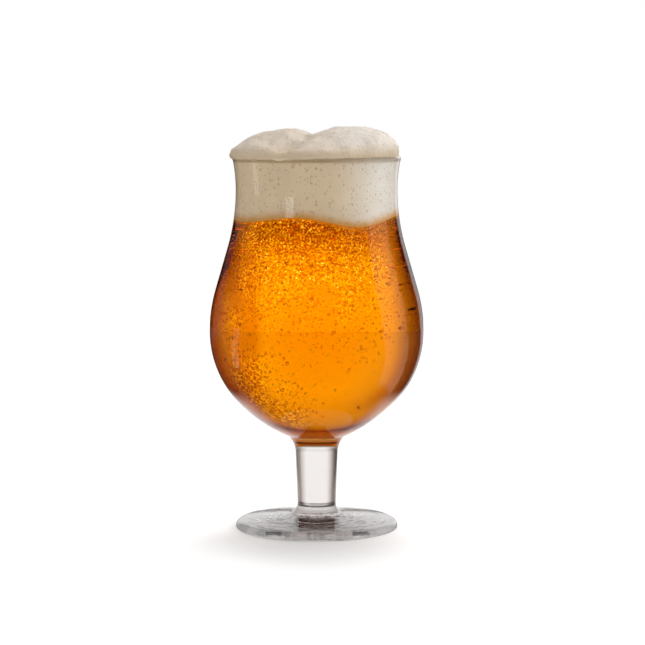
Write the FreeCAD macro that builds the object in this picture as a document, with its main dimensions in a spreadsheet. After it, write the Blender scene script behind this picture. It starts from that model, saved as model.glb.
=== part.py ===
import FreeCAD, Part
import collections
import enum
import math
import os
import Sketcher

# Tulip beer glass with its beer and head of foam, in millimetres.
# The origin is the centre of the resting plane and +Z points up. -Y is the side that faces a viewer.
# The glass is one piece turned about Z: foot, stem, bowl and rounded lip.
# The beer and the foam lie in it and take their sides from the same inside curve.

DRIVING_SIZES = (
    ("foot_radius", 33.45, "widest radius of the foot"),
    ("foot_lower_round", 0.75, "radius of the edge below the widest line of the foot"),
    ("foot_upper_round", 2.36, "radius of the edge above the widest line of the foot"),
    ("foot_slope", 7.0, "degrees that the top of the foot rises towards the stem"),
    ("rest_ring_width", 4.4, "width of the flat ring that the glass stands on"),
    ("hollow_depth", 1.5, "rise of the underside at its centre"),
    ("foot_fillet", 4.6, "radius where the foot runs into the stem"),
    ("stem_top_height", 31.5, "height at which the stem starts to flare"),
    ("stem_top_radius", 8.8, "radius of the stem at that height"),
    ("stem_taper", 2.3, "degrees by which the stem widens upwards on each side"),
    ("flare_round", 9.5, "radius of the flare at the head of the stem"),
    ("flare_reach", 3.0, "how far the seam with the bowl stands out beyond the stem"),
    ("belly_rise", 49.91, "height of the widest line of the bowl above the stem"),
    ("belly_radius", 44.0, "widest outside radius of the bowl"),
    ("lower_belly_round", 41.86, "outside radius of the curve below the widest line"),
    ("lower_belly_turn", 41.3, "degrees that this curve turns through"),
    ("waist_rise", 58.36, "height of the narrowest line of the bowl above the widest"),
    ("waist_radius", 33.08, "narrowest outside radius of the bowl"),
    ("taper_length", 18.1, "straight stretch between the belly and the waist"),
    ("shoulder_share", 0.425, "part of the two curves' radii that the belly has"),
    ("lip_rise", 12.4, "height of the middle of the lip above the waist"),
    ("lip_flare_round", 62.0, "radius of the outside curve from the waist to the lip"),
    ("lip_swell", 0.3, "how far the rounded lip stands out from each side of the wall"),
    ("wall", 2.0, "thickness of the bowl's side"),
    ("floor_reach", 8.0, "radius of the flat middle of the bowl's floor"),
    ("floor_corner", 8.0, "radius of the round between the floor and the bowl's side"),
    ("line_drop", 24.7, "mean depth of the beer's surface below the middle of the lip"),
    ("line_swing", 1.9, "height of the waves where beer and foam meet"),
    ("line_length", 52.0, "length of one such wave"),
    ("line_crest", -7.3, "place of a crest, across the front"),
    ("line_slant", 0.35, "how far a crest moves aside on its way to the back"),
    ("head_radius", 34.6, "radius of the foam above the lip"),
    ("head_shift", -1.0, "how far the foam leans over the lip, to the left"),
    ("head_lower_round", 1.2, "radius of the foam's edge on the lip"),
    ("head_flank", 4.0, "height of the foam's upright side between its two rounds"),
    ("head_shoulder_round", 2.9, "radius of the foam's shoulder"),
    ("head_roof_slope", 38.5, "degrees of the rise behind the shoulder"),
    ("head_edge_height", 3.5, "height of the foam's edge above the middle of the lip"),
    ("head_dome_rise", 4.2, "rise of the foam from its edge to its middle, without its mounds"),
    ("left_mound_height", 5.0, "rise of the left mound above that dome"),
    ("left_mound_place", -15.6, "middle of the left mound, across the front"),
    ("left_mound_width", 16.0, "spread of the left mound"),
    ("right_mound_height", 6.4, "rise of the right mound above that dome"),
    ("right_mound_place", 17.9, "middle of the right mound, across the front"),
    ("right_mound_width", 16.4, "spread of the right mound"),
    ("mound_depth", 22.0, "spread of both mounds from front to back"),
    ("mound_front", -2.0, "middle of both mounds, from front to back"),
    ("valley_depth", 1.5, "depth of the valley between the mounds"),
    ("valley_width", 4.5, "spread of that valley"),
    ("valley_place", -1.5, "middle of the valley, across the axis of the glass"),
    ("valley_slant", 0.42, "how far the valley moves aside on its way to the front"),
    ("grid_margin", 8.0, "how far a free surface is drawn beyond the belly"),
    ("grid_step", 4.5, "spacing of the points that a free surface passes through"),
)

WORKED_OUT_SIZES = (
    ("belly_height", "=stem_top_height + belly_rise", "height of the widest line"),
    ("waist_height", "=belly_height + waist_rise", "height of the narrowest line"),
    ("lip_height", "=waist_height + lip_rise", "height of the middle of the lip"),
    ("seam_radius", "=stem_top_radius + flare_reach", "radius of the seam of stem and bowl"),
    ("flare_middle", "=stem_top_radius + flare_round * cos(stem_taper)", "radius of the flare's centre"),
    ("flare_level", "=stem_top_height - flare_round * sin(stem_taper)", "height of the flare's centre"),
    (
        "seam_height",
        "=flare_level + sqrt(flare_round ^ 2 - (flare_middle - seam_radius) ^ 2)",
        "height of the seam of stem and bowl",
    ),
    (
        "under_run",
        "=belly_radius - lower_belly_round * (1 - cos(lower_belly_turn)) - seam_radius",
        "how far the underside of the bowl reaches out from the seam",
    ),
    (
        "under_climb",
        "=belly_height - lower_belly_round * sin(lower_belly_turn) - seam_height",
        "how far the underside of the bowl climbs from the seam",
    ),
    (
        "under_lean",
        "=under_run * cos(lower_belly_turn) - under_climb * sin(lower_belly_turn)",
        "how far its chord leans away from the line in which it meets the belly",
    ),
    (
        "under_round",
        "=(under_run ^ 2 + under_climb ^ 2) / (2 * under_lean)",
        "outside radius of the underside of the bowl",
    ),
    (
        "under_middle",
        "=seam_radius + under_run - under_round * cos(lower_belly_turn)",
        "distance from the axis to the middle of that round",
    ),
    (
        "under_level",
        "=seam_height + under_climb + under_round * sin(lower_belly_turn)",
        "height of the middle of that round",
    ),
    ("inner_round", "=under_round - wall", "inside radius of the underside of the bowl"),
    (
        "floor_height",
        "=under_level - floor_corner"
        " - sqrt((inner_round - floor_corner) ^ 2 - (floor_reach - under_middle) ^ 2)",
        "height of the bowl's floor",
    ),
    ("belly_to_waist", "=belly_radius - waist_radius", "how far the bowl draws in"),
    (
        "curve_radii",
        "=(belly_to_waist ^ 2 + waist_rise ^ 2 - taper_length ^ 2) / (2 * belly_to_waist)",
        "radii of the belly's and the waist's outside curves, added up",
    ),
    ("shoulder_round", "=curve_radii * shoulder_share", "radius of the curve above the widest line"),
    ("lip_round", "=wall / 2 + lip_swell", "radius of the lip's section"),
    ("line_height", "=lip_height - line_drop", "mean height of the beer's surface"),
)

Edge = collections.namedtuple("Edge", "index first last")


class Place(enum.IntEnum):
    """Numbers by which a sketch knows its axes and the points of an edge."""

    UPRIGHT_AXIS = -2
    LEVEL_AXIS = -1
    START = 1
    END = 2
    CENTRE = 3


document = FreeCAD.newDocument("tulip_beer_glass")


def fill_sheet():
    """Write every size into the sheet, under its own name."""
    table = document.addObject("Spreadsheet::Sheet", "sizes")
    for row, (name, value, note) in enumerate(DRIVING_SIZES + WORKED_OUT_SIZES, start=1):
        table.set("A%d" % row, note)
        table.set("B%d" % row, str(value))
        table.setAlias("B%d" % row, name)
    document.recompute()
    return table


sheet = fill_sheet()


def size(name):
    """Value of a named size, as a plain number."""
    return float(sheet.get(name))


def polar(centre, radius, degrees):
    """Point at a radius and a direction from a centre."""
    turn = math.radians(degrees)
    return (centre[0] + radius * math.cos(turn), centre[1] + radius * math.sin(turn))


def degrees_of(formula):
    """Formula of a plain number, read as an angle."""
    return "(%s) * 1 deg" % formula


def plane_of(body, role):
    """One of the body's own origin planes."""
    return next(part for part in body.Origin.OriginFeatures if part.Role == role)


class Section:
    """Half section on the upright plane of a body: across is the radius, up is the height."""

    def __init__(self, body, name):
        self.sketch = body.newObject("Sketcher::SketchObject", name)
        self.sketch.AttachmentSupport = (plane_of(body, "XZ_Plane"), [""])
        self.sketch.MapMode = "FlatFace"
        self.origin = (Place.LEVEL_AXIS, Place.START)

    def line(self, start, end):
        """Straight edge."""
        segment = Part.LineSegment(FreeCAD.Vector(*start, 0), FreeCAD.Vector(*end, 0))
        return Edge(self.sketch.addGeometry(segment, False), Place.START, Place.END)

    def arc(self, centre, radius, first, last):
        """Round edge between two directions in degrees, either way round."""
        circle = Part.Circle(FreeCAD.Vector(*centre, 0), FreeCAD.Vector(0, 0, 1), radius)
        low, high = sorted((math.radians(first), math.radians(last)))
        index = self.sketch.addGeometry(Part.ArcOfCircle(circle, low, high), False)
        if first < last:
            return Edge(index, Place.START, Place.END)
        return Edge(index, Place.END, Place.START)

    def tie(self, kind, *places):
        """Geometric tie without a size."""
        self.sketch.addConstraint(Sketcher.Constraint(kind, *places))

    def meet(self, one, other, kind="Coincident"):
        """Join the end of one edge to the start of the other."""
        self.tie(kind, one.index, one.last, other.index, other.first)

    def flow(self, *edges):
        """Join edges in a row so that each runs smoothly into the next."""
        for one, other in zip(edges, edges[1:]):
            self.meet(one, other, "Tangent")

    def level(self, edge, end, other_end):
        """Put two points of an edge at one height."""
        self.tie("Horizontal", edge.index, end, edge.index, other_end)

    def bind(self, constraint, name, formula):
        """Add a size and let the sheet drive it."""
        number = self.sketch.addConstraint(constraint)
        self.sketch.renameConstraint(number, name)
        self.sketch.setExpression("Constraints." + name, formula)

    def across(self, name, edge, end, formula):
        """Distance of a point from the upright axis."""
        value = self.sketch.getPoint(edge.index, end).x
        constraint = Sketcher.Constraint("DistanceX", *self.origin, edge.index, end, value)
        self.bind(constraint, name, formula)

    def up(self, name, edge, end, formula):
        """Height of a point."""
        value = self.sketch.getPoint(edge.index, end).y
        constraint = Sketcher.Constraint("DistanceY", *self.origin, edge.index, end, value)
        self.bind(constraint, name, formula)

    def round(self, name, edge, formula):
        """Radius of an arc."""
        value = self.sketch.Geometry[edge.index].Radius
        self.bind(Sketcher.Constraint("Radius", edge.index, value), name, formula)

    def turn(self, name, edge, formula):
        """Angle that an arc turns through."""
        curve = self.sketch.Geometry[edge.index]
        value = curve.LastParameter - curve.FirstParameter
        self.bind(Sketcher.Constraint("Angle", edge.index, value), name, degrees_of(formula))

    def length(self, name, edge, formula):
        """Length of a straight edge."""
        value = self.sketch.Geometry[edge.index].length()
        self.bind(Sketcher.Constraint("Distance", edge.index, value), name, formula)

    def lean(self, name, edge, axis, degrees, formula):
        """Angle from an axis to a straight edge."""
        value = math.radians(degrees)
        constraint = Sketcher.Constraint("Angle", axis, Place.START, edge.index, edge.first, value)
        self.bind(constraint, name, degrees_of(formula))


def bowl_side(section, prefix, inset, inset_formula):
    """Draw one side of the bowl's wall from the lower belly up to the lip.

    The inside of the wall is the same chain of curves as the outside, set in by the wall.
    """
    total = size("curve_radii")
    belly = (size("belly_radius"), size("belly_height"))
    waist = (size("waist_radius"), size("waist_height"))
    low_centre = (belly[0] - size("lower_belly_round"), belly[1])
    shoulder_centre = (belly[0] - size("shoulder_round"), belly[1])
    waist_round = total - size("shoulder_round")
    waist_centre = (waist[0] + waist_round, waist[1])
    lip_centre = (waist[0] + size("lip_flare_round"), waist[1])
    between = math.atan2(waist[1] - belly[1], waist_centre[0] - shoulder_centre[0])
    tilt = math.degrees(between - math.atan2(size("taper_length"), total))
    seat_rise = size("lip_rise") - lip_sink()
    lip_turn = math.degrees(math.asin(seat_rise / (size("lip_flare_round") + inset)))

    low_round = size("lower_belly_round") - inset
    shoulder_round = size("shoulder_round") - inset
    low = section.arc(low_centre, low_round, -size("lower_belly_turn"), 0)
    shoulder = section.arc(shoulder_centre, shoulder_round, 0, tilt)
    taper_start = polar(shoulder_centre, shoulder_round, tilt)
    taper_end = polar(waist_centre, -(waist_round + inset), tilt)
    taper = section.line(taper_start, taper_end)
    waist_curve = section.arc(waist_centre, waist_round + inset, 180 + tilt, 180)
    lip_curve = section.arc(lip_centre, size("lip_flare_round") + inset, 180, 180 - lip_turn)

    section.flow(low, shoulder, taper, waist_curve, lip_curve)
    section.round(prefix + "_low_round", low, "sizes.lower_belly_round" + inset_formula)
    section.turn(prefix + "_low_turn", low, "sizes.lower_belly_turn")
    section.across(prefix + "_belly", low, low.last, "sizes.belly_radius" + inset_formula)
    section.up(prefix + "_belly_height", low, low.last, "sizes.belly_height")
    section.level(low, low.last, Place.CENTRE)
    section.round(prefix + "_shoulder", shoulder, "sizes.shoulder_round" + inset_formula)
    section.length(prefix + "_taper", taper, "sizes.taper_length")
    waist_end = waist_curve.last
    section.across(prefix + "_waist", waist_curve, waist_end, "sizes.waist_radius" + inset_formula)
    section.up(prefix + "_waist_height", waist_curve, waist_end, "sizes.waist_height")
    section.level(waist_curve, waist_end, Place.CENTRE)
    outset_formula = inset_formula.replace("-", "+")
    section.round(prefix + "_lip", lip_curve, "sizes.lip_flare_round" + outset_formula)
    return low, lip_curve


def inside_of_bowl(section):
    """Draw the inside of the bowl, from the middle of its floor up to the lip."""
    low, lip_curve = bowl_side(section, "inside", size("wall"), " - sizes.wall")
    turn = size("lower_belly_turn")
    under_centre = (size("under_middle"), size("under_level"))
    corner_round = size("floor_corner")
    height = size("floor_height")
    centre = (size("floor_reach"), height + corner_round)
    lean = math.atan2(centre[1] - under_centre[1], centre[0] - under_centre[0])
    corner_turn = math.degrees(lean)
    floor = section.line((0, height), (centre[0], height))
    corner = section.arc(centre, corner_round, -90, corner_turn)
    under = section.arc(under_centre, size("inner_round"), corner_turn, -turn)
    section.flow(floor, corner, under, low)
    section.tie("PointOnObject", floor.index, floor.first, Place.UPRIGHT_AXIS)
    section.tie("Horizontal", floor.index)
    section.across("floor_reach", floor, floor.last, "sizes.floor_reach")
    section.round("floor_corner", corner, "sizes.floor_corner")
    section.round("inner_round", under, "sizes.inner_round")
    return floor, lip_curve


def foot_and_stem(section):
    """Draw the outside from the middle of the underside to the seam with the bowl."""
    radius = size("foot_radius")
    lower_round = size("foot_lower_round")
    upper_round = size("foot_upper_round")
    slope = size("foot_slope")
    lean = size("stem_taper")
    ring_edge = radius - lower_round
    hollow_edge = ring_edge - size("rest_ring_width")
    depth = size("hollow_depth")
    hollow_round = (hollow_edge ** 2 + depth ** 2) / (2 * depth)
    hollow_reach = math.degrees(math.asin(hollow_edge / hollow_round))
    hollow = section.arc((0, depth - hollow_round), hollow_round, 90, 90 - hollow_reach)
    ring = section.line((hollow_edge, 0), (ring_edge, 0))
    lower_edge = section.arc((ring_edge, lower_round), lower_round, -90, 0)
    upper_centre = (radius - upper_round, lower_round)
    upper_edge = section.arc(upper_centre, upper_round, 0, 90 - slope)

    slope_start = polar(upper_centre, upper_round, 90 - slope)
    stem_top = (size("stem_top_radius"), size("stem_top_height"))
    fillet = size("foot_fillet")
    fillet_centre = corner_centre(slope_start, slope, stem_top, lean, fillet)
    slope_end = polar(fillet_centre, fillet, -90 - slope)
    stem_start = polar(fillet_centre, fillet, 180 - lean)
    top_of_foot = section.line(slope_start, slope_end)
    foot_curve = section.arc(fillet_centre, fillet, 270 - slope, 180 - lean)
    stem = section.line(stem_start, stem_top)

    flare_centre = polar(stem_top, size("flare_round"), -lean)
    seam_reach = (flare_centre[0] - size("seam_radius")) / size("flare_round")
    flare_turn = math.degrees(math.acos(seam_reach))
    flare = section.arc(flare_centre, size("flare_round"), 180 - lean, 180 - flare_turn)

    section.tie("PointOnObject", hollow.index, Place.CENTRE, Place.UPRIGHT_AXIS)
    section.tie("PointOnObject", hollow.index, hollow.first, Place.UPRIGHT_AXIS)
    section.up("hollow_depth", hollow, hollow.first, "sizes.hollow_depth")
    section.meet(hollow, ring)
    section.tie("PointOnObject", ring.index, ring.first, Place.LEVEL_AXIS)
    section.tie("Horizontal", ring.index)
    section.length("rest_ring_width", ring, "sizes.rest_ring_width")
    section.flow(ring, lower_edge, upper_edge, top_of_foot, foot_curve, stem, flare)
    section.round("foot_lower_round", lower_edge, "sizes.foot_lower_round")
    section.across("foot_radius", lower_edge, lower_edge.last, "sizes.foot_radius")
    section.level(upper_edge, upper_edge.first, Place.CENTRE)
    section.round("foot_upper_round", upper_edge, "sizes.foot_upper_round")
    section.lean("foot_slope", top_of_foot, Place.LEVEL_AXIS, 180 - slope, "180 - sizes.foot_slope")
    section.round("foot_fillet", foot_curve, "sizes.foot_fillet")
    section.lean("stem_taper", stem, Place.LEVEL_AXIS, 90 - lean, "90 - sizes.stem_taper")
    section.across("stem_top_radius", stem, stem.last, "sizes.stem_top_radius")
    section.up("stem_top_height", stem, stem.last, "sizes.stem_top_height")
    section.round("flare_round", flare, "sizes.flare_round")
    section.across("seam_radius", flare, flare.last, "sizes.seam_radius")
    return hollow, flare


def corner_centre(slope_point, slope, stem_point, lean, radius):
    """Centre of the round between the sloping foot and the leaning stem."""
    slope_turn = math.radians(slope)
    lean_turn = math.radians(lean)
    slope_normal = (math.sin(slope_turn), math.cos(slope_turn))
    stem_normal = (math.cos(lean_turn), -math.sin(lean_turn))
    slope_reach = dot(slope_normal, slope_point) + radius
    stem_reach = dot(stem_normal, stem_point) + radius
    spread = slope_normal[0] * stem_normal[1] - slope_normal[1] * stem_normal[0]
    across = (slope_reach * stem_normal[1] - slope_normal[1] * stem_reach) / spread
    up = (slope_normal[0] * stem_reach - slope_reach * stem_normal[0]) / spread
    return (across, up)


def dot(one, other):
    """Scalar product of two points taken as vectors."""
    return one[0] * other[0] + one[1] * other[1]


def under_bowl(section, flare, low):
    """Draw the underside of the bowl, from the seam to the lower belly."""
    seam = section.sketch.getPoint(flare.index, flare.last)
    start = section.sketch.getPoint(low.index, low.first)
    turn = size("lower_belly_turn")
    outward = polar((0, 0), 1, -turn)
    chord = (start.x - seam.x, start.y - seam.y)
    radius = dot(chord, chord) / (2 * dot(chord, outward))
    centre = polar((start.x, start.y), -radius, -turn)
    seam_turn = math.degrees(math.atan2(seam.y - centre[1], seam.x - centre[0]))
    under = section.arc(centre, radius, seam_turn, -turn)
    section.meet(flare, under)
    section.flow(under, low)
    return under


def lip_sink():
    """Depth below the middle of the lip at which the wall meets its round."""
    return math.sqrt(size("lip_round") ** 2 - (size("wall") / 2) ** 2)


def rounded_lip(section, outside, inside):
    """Draw the lip: a round section a little thicker than the wall."""
    radius = size("lip_round")
    outer = section.sketch.getPoint(outside.index, outside.last)
    inner = section.sketch.getPoint(inside.index, inside.last)
    centre = ((outer.x + inner.x) / 2, size("lip_height"))
    dip = math.degrees(math.asin(lip_sink() / radius))
    lip = section.arc(centre, radius, -dip, 180 + dip)
    section.meet(outside, lip)
    section.tie("Coincident", lip.index, lip.last, inside.index, inside.last)
    section.level(lip, lip.first, lip.last)
    section.round("lip_round", lip, "sizes.lip_round")
    section.up("lip_height", lip, Place.CENTRE, "sizes.lip_height")


def close_on_axis(section, start_edge, start_end, end_edge, end_end):
    """Close a section with the stretch of the axis between two points."""
    start = section.sketch.getPoint(start_edge.index, start_end)
    end = section.sketch.getPoint(end_edge.index, end_end)
    axis = section.line((start.x, start.y), (end.x, end.y))
    section.tie("Coincident", axis.index, axis.first, start_edge.index, start_end)
    section.tie("Coincident", axis.index, axis.last, end_edge.index, end_end)


def turn_solid(body, name, section, axis="V_Axis"):
    """Turn a section all the way round."""
    feature = body.newObject("PartDesign::Revolution", name)
    feature.Profile = section.sketch
    feature.ReferenceAxis = (section.sketch, [axis])
    feature.Angle = 360.0
    document.recompute()
    return feature


def make_glass():
    """Foot, stem, bowl and lip in one piece."""
    body = document.addObject("PartDesign::Body", "glass")
    section = Section(body, "glass_section")
    hollow, flare = foot_and_stem(section)
    outside_low, outside_lip = bowl_side(section, "outside", 0.0, "")
    under_bowl(section, flare, outside_low)
    floor, inside_lip = inside_of_bowl(section)
    rounded_lip(section, outside_lip, inside_lip)
    close_on_axis(section, floor, floor.first, hollow, hollow.first)
    turn_solid(body, "glass_turned", section)
    return body


def make_filling(name):
    """All of the space inside the bowl, up to the middle of the lip."""
    body = document.addObject("PartDesign::Body", name)
    section = Section(body, name + "_section")
    floor, lip_curve = inside_of_bowl(section)
    edge = section.sketch.getPoint(lip_curve.index, lip_curve.last)
    top = section.line((edge.x, edge.y), (0, edge.y))
    section.meet(lip_curve, top)
    section.tie("Horizontal", top.index)
    section.up("top_height", top, top.first, "sizes.lip_height")
    close_on_axis(section, top, top.last, floor, floor.first)
    turn_solid(body, name + "_turned", section)
    return body


def make_crown():
    """Foam above the lip, before its mounds are shaped: a round with a soft shoulder."""
    body = document.addObject("PartDesign::Body", "crown")
    section = Section(body, "crown_section")
    middle = size("head_shift")
    base = size("lip_height")
    edge = middle + size("head_radius")
    lower_round = size("head_lower_round")
    shoulder_round = size("head_shoulder_round")
    flank_start = base + lower_round
    flank_end = flank_start + size("head_flank")
    slope = size("head_roof_slope")
    shoulder_centre = (edge - shoulder_round, flank_end)
    roof_start = polar(shoulder_centre, shoulder_round, 90 - slope)
    roof_top = roof_start[1] + (roof_start[0] - middle) * math.tan(math.radians(slope))

    seat = section.line((middle, base), (edge - lower_round, base))
    lower_edge = section.arc((edge - lower_round, flank_start), lower_round, -90, 0)
    flank = section.line((edge, flank_start), (edge, flank_end))
    shoulder = section.arc(shoulder_centre, shoulder_round, 0, 90 - slope)
    roof = section.line(roof_start, (middle, roof_top))
    axis = section.line((middle, roof_top), (middle, base))
    section.flow(seat, lower_edge, flank, shoulder, roof)
    section.meet(roof, axis)
    section.meet(axis, seat)
    section.tie("Horizontal", seat.index)
    section.tie("Vertical", flank.index)
    section.tie("Vertical", axis.index)
    section.across("head_shift", axis, axis.last, "sizes.head_shift")
    section.up("base_height", axis, axis.last, "sizes.lip_height")
    section.across("head_edge", flank, flank.first, "sizes.head_shift + sizes.head_radius")
    section.round("head_lower_round", lower_edge, "sizes.head_lower_round")
    section.length("head_flank", flank, "sizes.head_flank")
    section.round("head_shoulder_round", shoulder, "sizes.head_shoulder_round")
    section.lean("head_roof_slope", roof, Place.LEVEL_AXIS, 180 - slope, "180 - sizes.head_roof_slope")
    turn_solid(body, "crown_turned", section, "Edge%d" % (axis.index + 1))
    return body


def beer_line(across, back):
    """Height of the wavy surface where the beer meets the foam."""
    crest = size("line_crest") - size("line_slant") * (back + size("waist_radius"))
    phase = 2 * math.pi * (across - crest) / size("line_length")
    return size("line_height") + size("line_swing") * math.cos(phase)


def mound(across, back, side):
    """Height of one flat-topped mound of foam, as a share of its full rise."""
    aside = (across - size(side + "_mound_place")) / size(side + "_mound_width")
    behind = (back - size("mound_front")) / size("mound_depth")
    return math.exp(-aside ** 4 - behind ** 4)


def valley(across, back):
    """Depth of the valley that runs between the mounds towards the front left."""
    middle = size("valley_place") + size("valley_slant") * back
    return size("valley_depth") * math.exp(-((across - middle) / size("valley_width")) ** 2)


def foam_top(across, back):
    """Height of the foam's top: a low dome with two mounds and the valley between them."""
    reach = (across ** 2 + back ** 2) / size("head_radius") ** 2
    dome = size("head_edge_height") + size("head_dome_rise") * (1 - reach)
    left = size("left_mound_height") * mound(across, back, "left")
    right = size("right_mound_height") * mound(across, back, "right")
    return size("lip_height") + dome + left + right - valley(across, back)


def space_above(name, height):
    """Block of space above a free surface, wide enough for the whole bowl."""
    reach = size("belly_radius") + size("grid_margin")
    steps = math.ceil(2 * reach / size("grid_step"))
    places = [reach * (2 * step / steps - 1) for step in range(steps + 1)]
    points = [[FreeCAD.Vector(x, y, height(x, y)) for y in places] for x in places]
    surface = Part.BSplineSurface()
    surface.interpolate(points)
    block = document.addObject("Part::Feature", name)
    block.Shape = Part.Face(surface).extrude(FreeCAD.Vector(0, 0, 2 * reach))
    return block


def combine(kind, name, base, tool):
    """Cut a tool away from a base, or keep what the two share."""
    result = document.addObject(kind, name)
    result.Base = base
    result.Tool = tool
    document.recompute()
    return result


def make_beer(above_line):
    """Beer, from the floor of the bowl up to the wavy line."""
    return combine("Part::Cut", "beer", make_filling("beer_filling"), above_line)


def make_foam_head(glass, above_line):
    """Foam, from the wavy line up to its mounds, seated on the lip."""
    whole = combine("Part::Fuse", "foam_whole", make_filling("foam_filling"), make_crown())
    upper = combine("Part::Common", "foam_upper", whole, above_line)
    seated = combine("Part::Cut", "foam_seated", upper, glass)
    above_top = space_above("above_top", foam_top)
    return combine("Part::Cut", "foam_head", seated, above_top)


def check_document():
    """Stop when any object of the document has failed."""
    for part in document.Objects:
        if "Invalid" in part.State or "Error" in part.State:
            raise RuntimeError("%s did not build: %s" % (part.Name, part.State))


def write_pieces(pieces):
    """Check each piece and write it to its own file."""
    os.makedirs("parts", exist_ok=True)
    for piece in pieces:
        shape = piece.Shape
        if shape.isNull() or not shape.isValid() or len(shape.Solids) != 1:
            raise RuntimeError("%s is not one sound solid" % piece.Label)
        shape.exportStep("parts/%s.step" % piece.Label)
        print("%s: %.1f ml" % (piece.Label, shape.Volume / 1000))


def main():
    """Build the glass, the beer and the foam and write them."""
    glass = make_glass()
    above_line = space_above("above_line", beer_line)
    beer = make_beer(above_line)
    foam_head = make_foam_head(glass, above_line)
    document.recompute()
    check_document()
    write_pieces([glass, beer, foam_head])


main()
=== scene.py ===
"""Looks of a stemmed tulip glass that is full of amber beer under a mounded head of foam.

Sizes are written in millimetres and turned into metres where a mesh is made. The frame is that of
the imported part: +Z is up, -Y is towards the viewer and +X is to the viewer's right.
"""

import enum
import logging
import math
from dataclasses import dataclass, field
from typing import Any, Callable, Mapping, Sequence, Union

import bpy
import numpy as np
from mathutils import Euler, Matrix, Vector, noise


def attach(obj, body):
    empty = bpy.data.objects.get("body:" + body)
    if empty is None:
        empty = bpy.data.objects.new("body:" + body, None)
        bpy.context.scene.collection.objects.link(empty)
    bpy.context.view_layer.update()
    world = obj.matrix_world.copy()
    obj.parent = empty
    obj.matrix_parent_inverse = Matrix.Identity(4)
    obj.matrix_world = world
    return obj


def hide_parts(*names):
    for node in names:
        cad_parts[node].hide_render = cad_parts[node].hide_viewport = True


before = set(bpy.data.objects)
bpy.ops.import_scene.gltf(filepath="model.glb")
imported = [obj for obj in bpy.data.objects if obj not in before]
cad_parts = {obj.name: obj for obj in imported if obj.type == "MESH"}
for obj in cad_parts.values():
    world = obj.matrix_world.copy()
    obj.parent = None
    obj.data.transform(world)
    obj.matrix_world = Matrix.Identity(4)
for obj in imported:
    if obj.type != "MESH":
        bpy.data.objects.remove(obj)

MM = 0.001
LOG = logging.getLogger("tulip_glass")

Point = tuple[float, float]
Span = tuple[float, float]
Band = tuple[Span, Span]
Colour = tuple[float, float, float]

BLACK: Colour = (0.0, 0.0, 0.0)
WHITE: Colour = (1.0, 1.0, 1.0)


class Slot(enum.Enum):
    """Material slots of the record."""

    GLASS = "clear_glass"
    BEER = "amber_beer"
    FOAM = "cream_foam"


# Node trees


def arithmetic(operation: str, swapped: bool = False) -> Callable[["Value", "Term"], "Value"]:
    """Make a method that adds a Math node.

    Args:
        operation: Blender's name for the operation.
        swapped: Whether the other value goes in first.

    Returns:
        The method.
    """

    def method(self: "Value", other: "Term") -> "Value":
        """Result of the node."""
        return self.math(operation, *((other, self) if swapped else (self, other)))

    return method


class Value:
    """Output of a node, on which arithmetic adds Math nodes."""

    def __init__(self, graph: "Graph", socket: bpy.types.NodeSocket) -> None:
        """Keep the socket and the tree that it stands in."""
        self.graph = graph
        self.socket = socket

    def math(self, operation: str, *values: "Term") -> "Value":
        """Result of a Math node with these values."""
        return self.graph.node("ShaderNodeMath", {"operation": operation}, dict(enumerate(values)))[0]

    __add__ = arithmetic("ADD")
    __radd__ = arithmetic("ADD", True)
    __sub__ = arithmetic("SUBTRACT")
    __rsub__ = arithmetic("SUBTRACT", True)
    __mul__ = arithmetic("MULTIPLY")
    __rmul__ = arithmetic("MULTIPLY", True)
    __truediv__ = arithmetic("DIVIDE")
    __rtruediv__ = arithmetic("DIVIDE", True)
    __gt__ = arithmetic("GREATER_THAN")
    most = arithmetic("MAXIMUM")
    least = arithmetic("MINIMUM")

    def __abs__(self) -> "Value":
        """Size without its sign."""
        return self.math("ABSOLUTE", self)

    def root(self) -> "Value":
        """Square root."""
        return self.math("SQRT", self)

    def step(self, low: float, high: float) -> "Value":
        """Soft step that is 0 at low and 1 at high, whichever of the two is the greater."""
        inputs = {"Value": self, "From Min": low, "From Max": high, "To Min": 0.0, "To Max": 1.0}
        return self.graph.node("ShaderNodeMapRange", {"interpolation_type": "SMOOTHSTEP"}, inputs)[0]

    def band(self, steps: Band) -> "Value":
        """Product of two soft steps, which is 1 between them."""
        return self.step(*steps[0]) * self.step(*steps[1])


Term = Union[Value, float, int, Sequence[float], str, bpy.types.ID]


class Outputs:
    """Outputs of one node, taken by number, name or identifier."""

    def __init__(self, graph: "Graph", made: bpy.types.Node) -> None:
        """Keep the node and the tree that it stands in."""
        self.graph = graph
        self.made = made

    def __getitem__(self, key: Union[int, str]) -> Value:
        """One output as a value."""
        return Value(self.graph, pick(self.made.outputs, key))


def pick(sockets: Any, key: Union[int, str]) -> bpy.types.NodeSocket:
    """Find a socket.

    Args:
        sockets: A node's inputs or outputs.
        key: The number, identifier or name of the socket.

    Returns:
        The socket.
    """
    if isinstance(key, int):
        return sockets[key]
    for socket in sockets:
        if socket.identifier == key:
            return socket
    return next(socket for socket in sockets if socket.name == key and socket.enabled)


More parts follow.
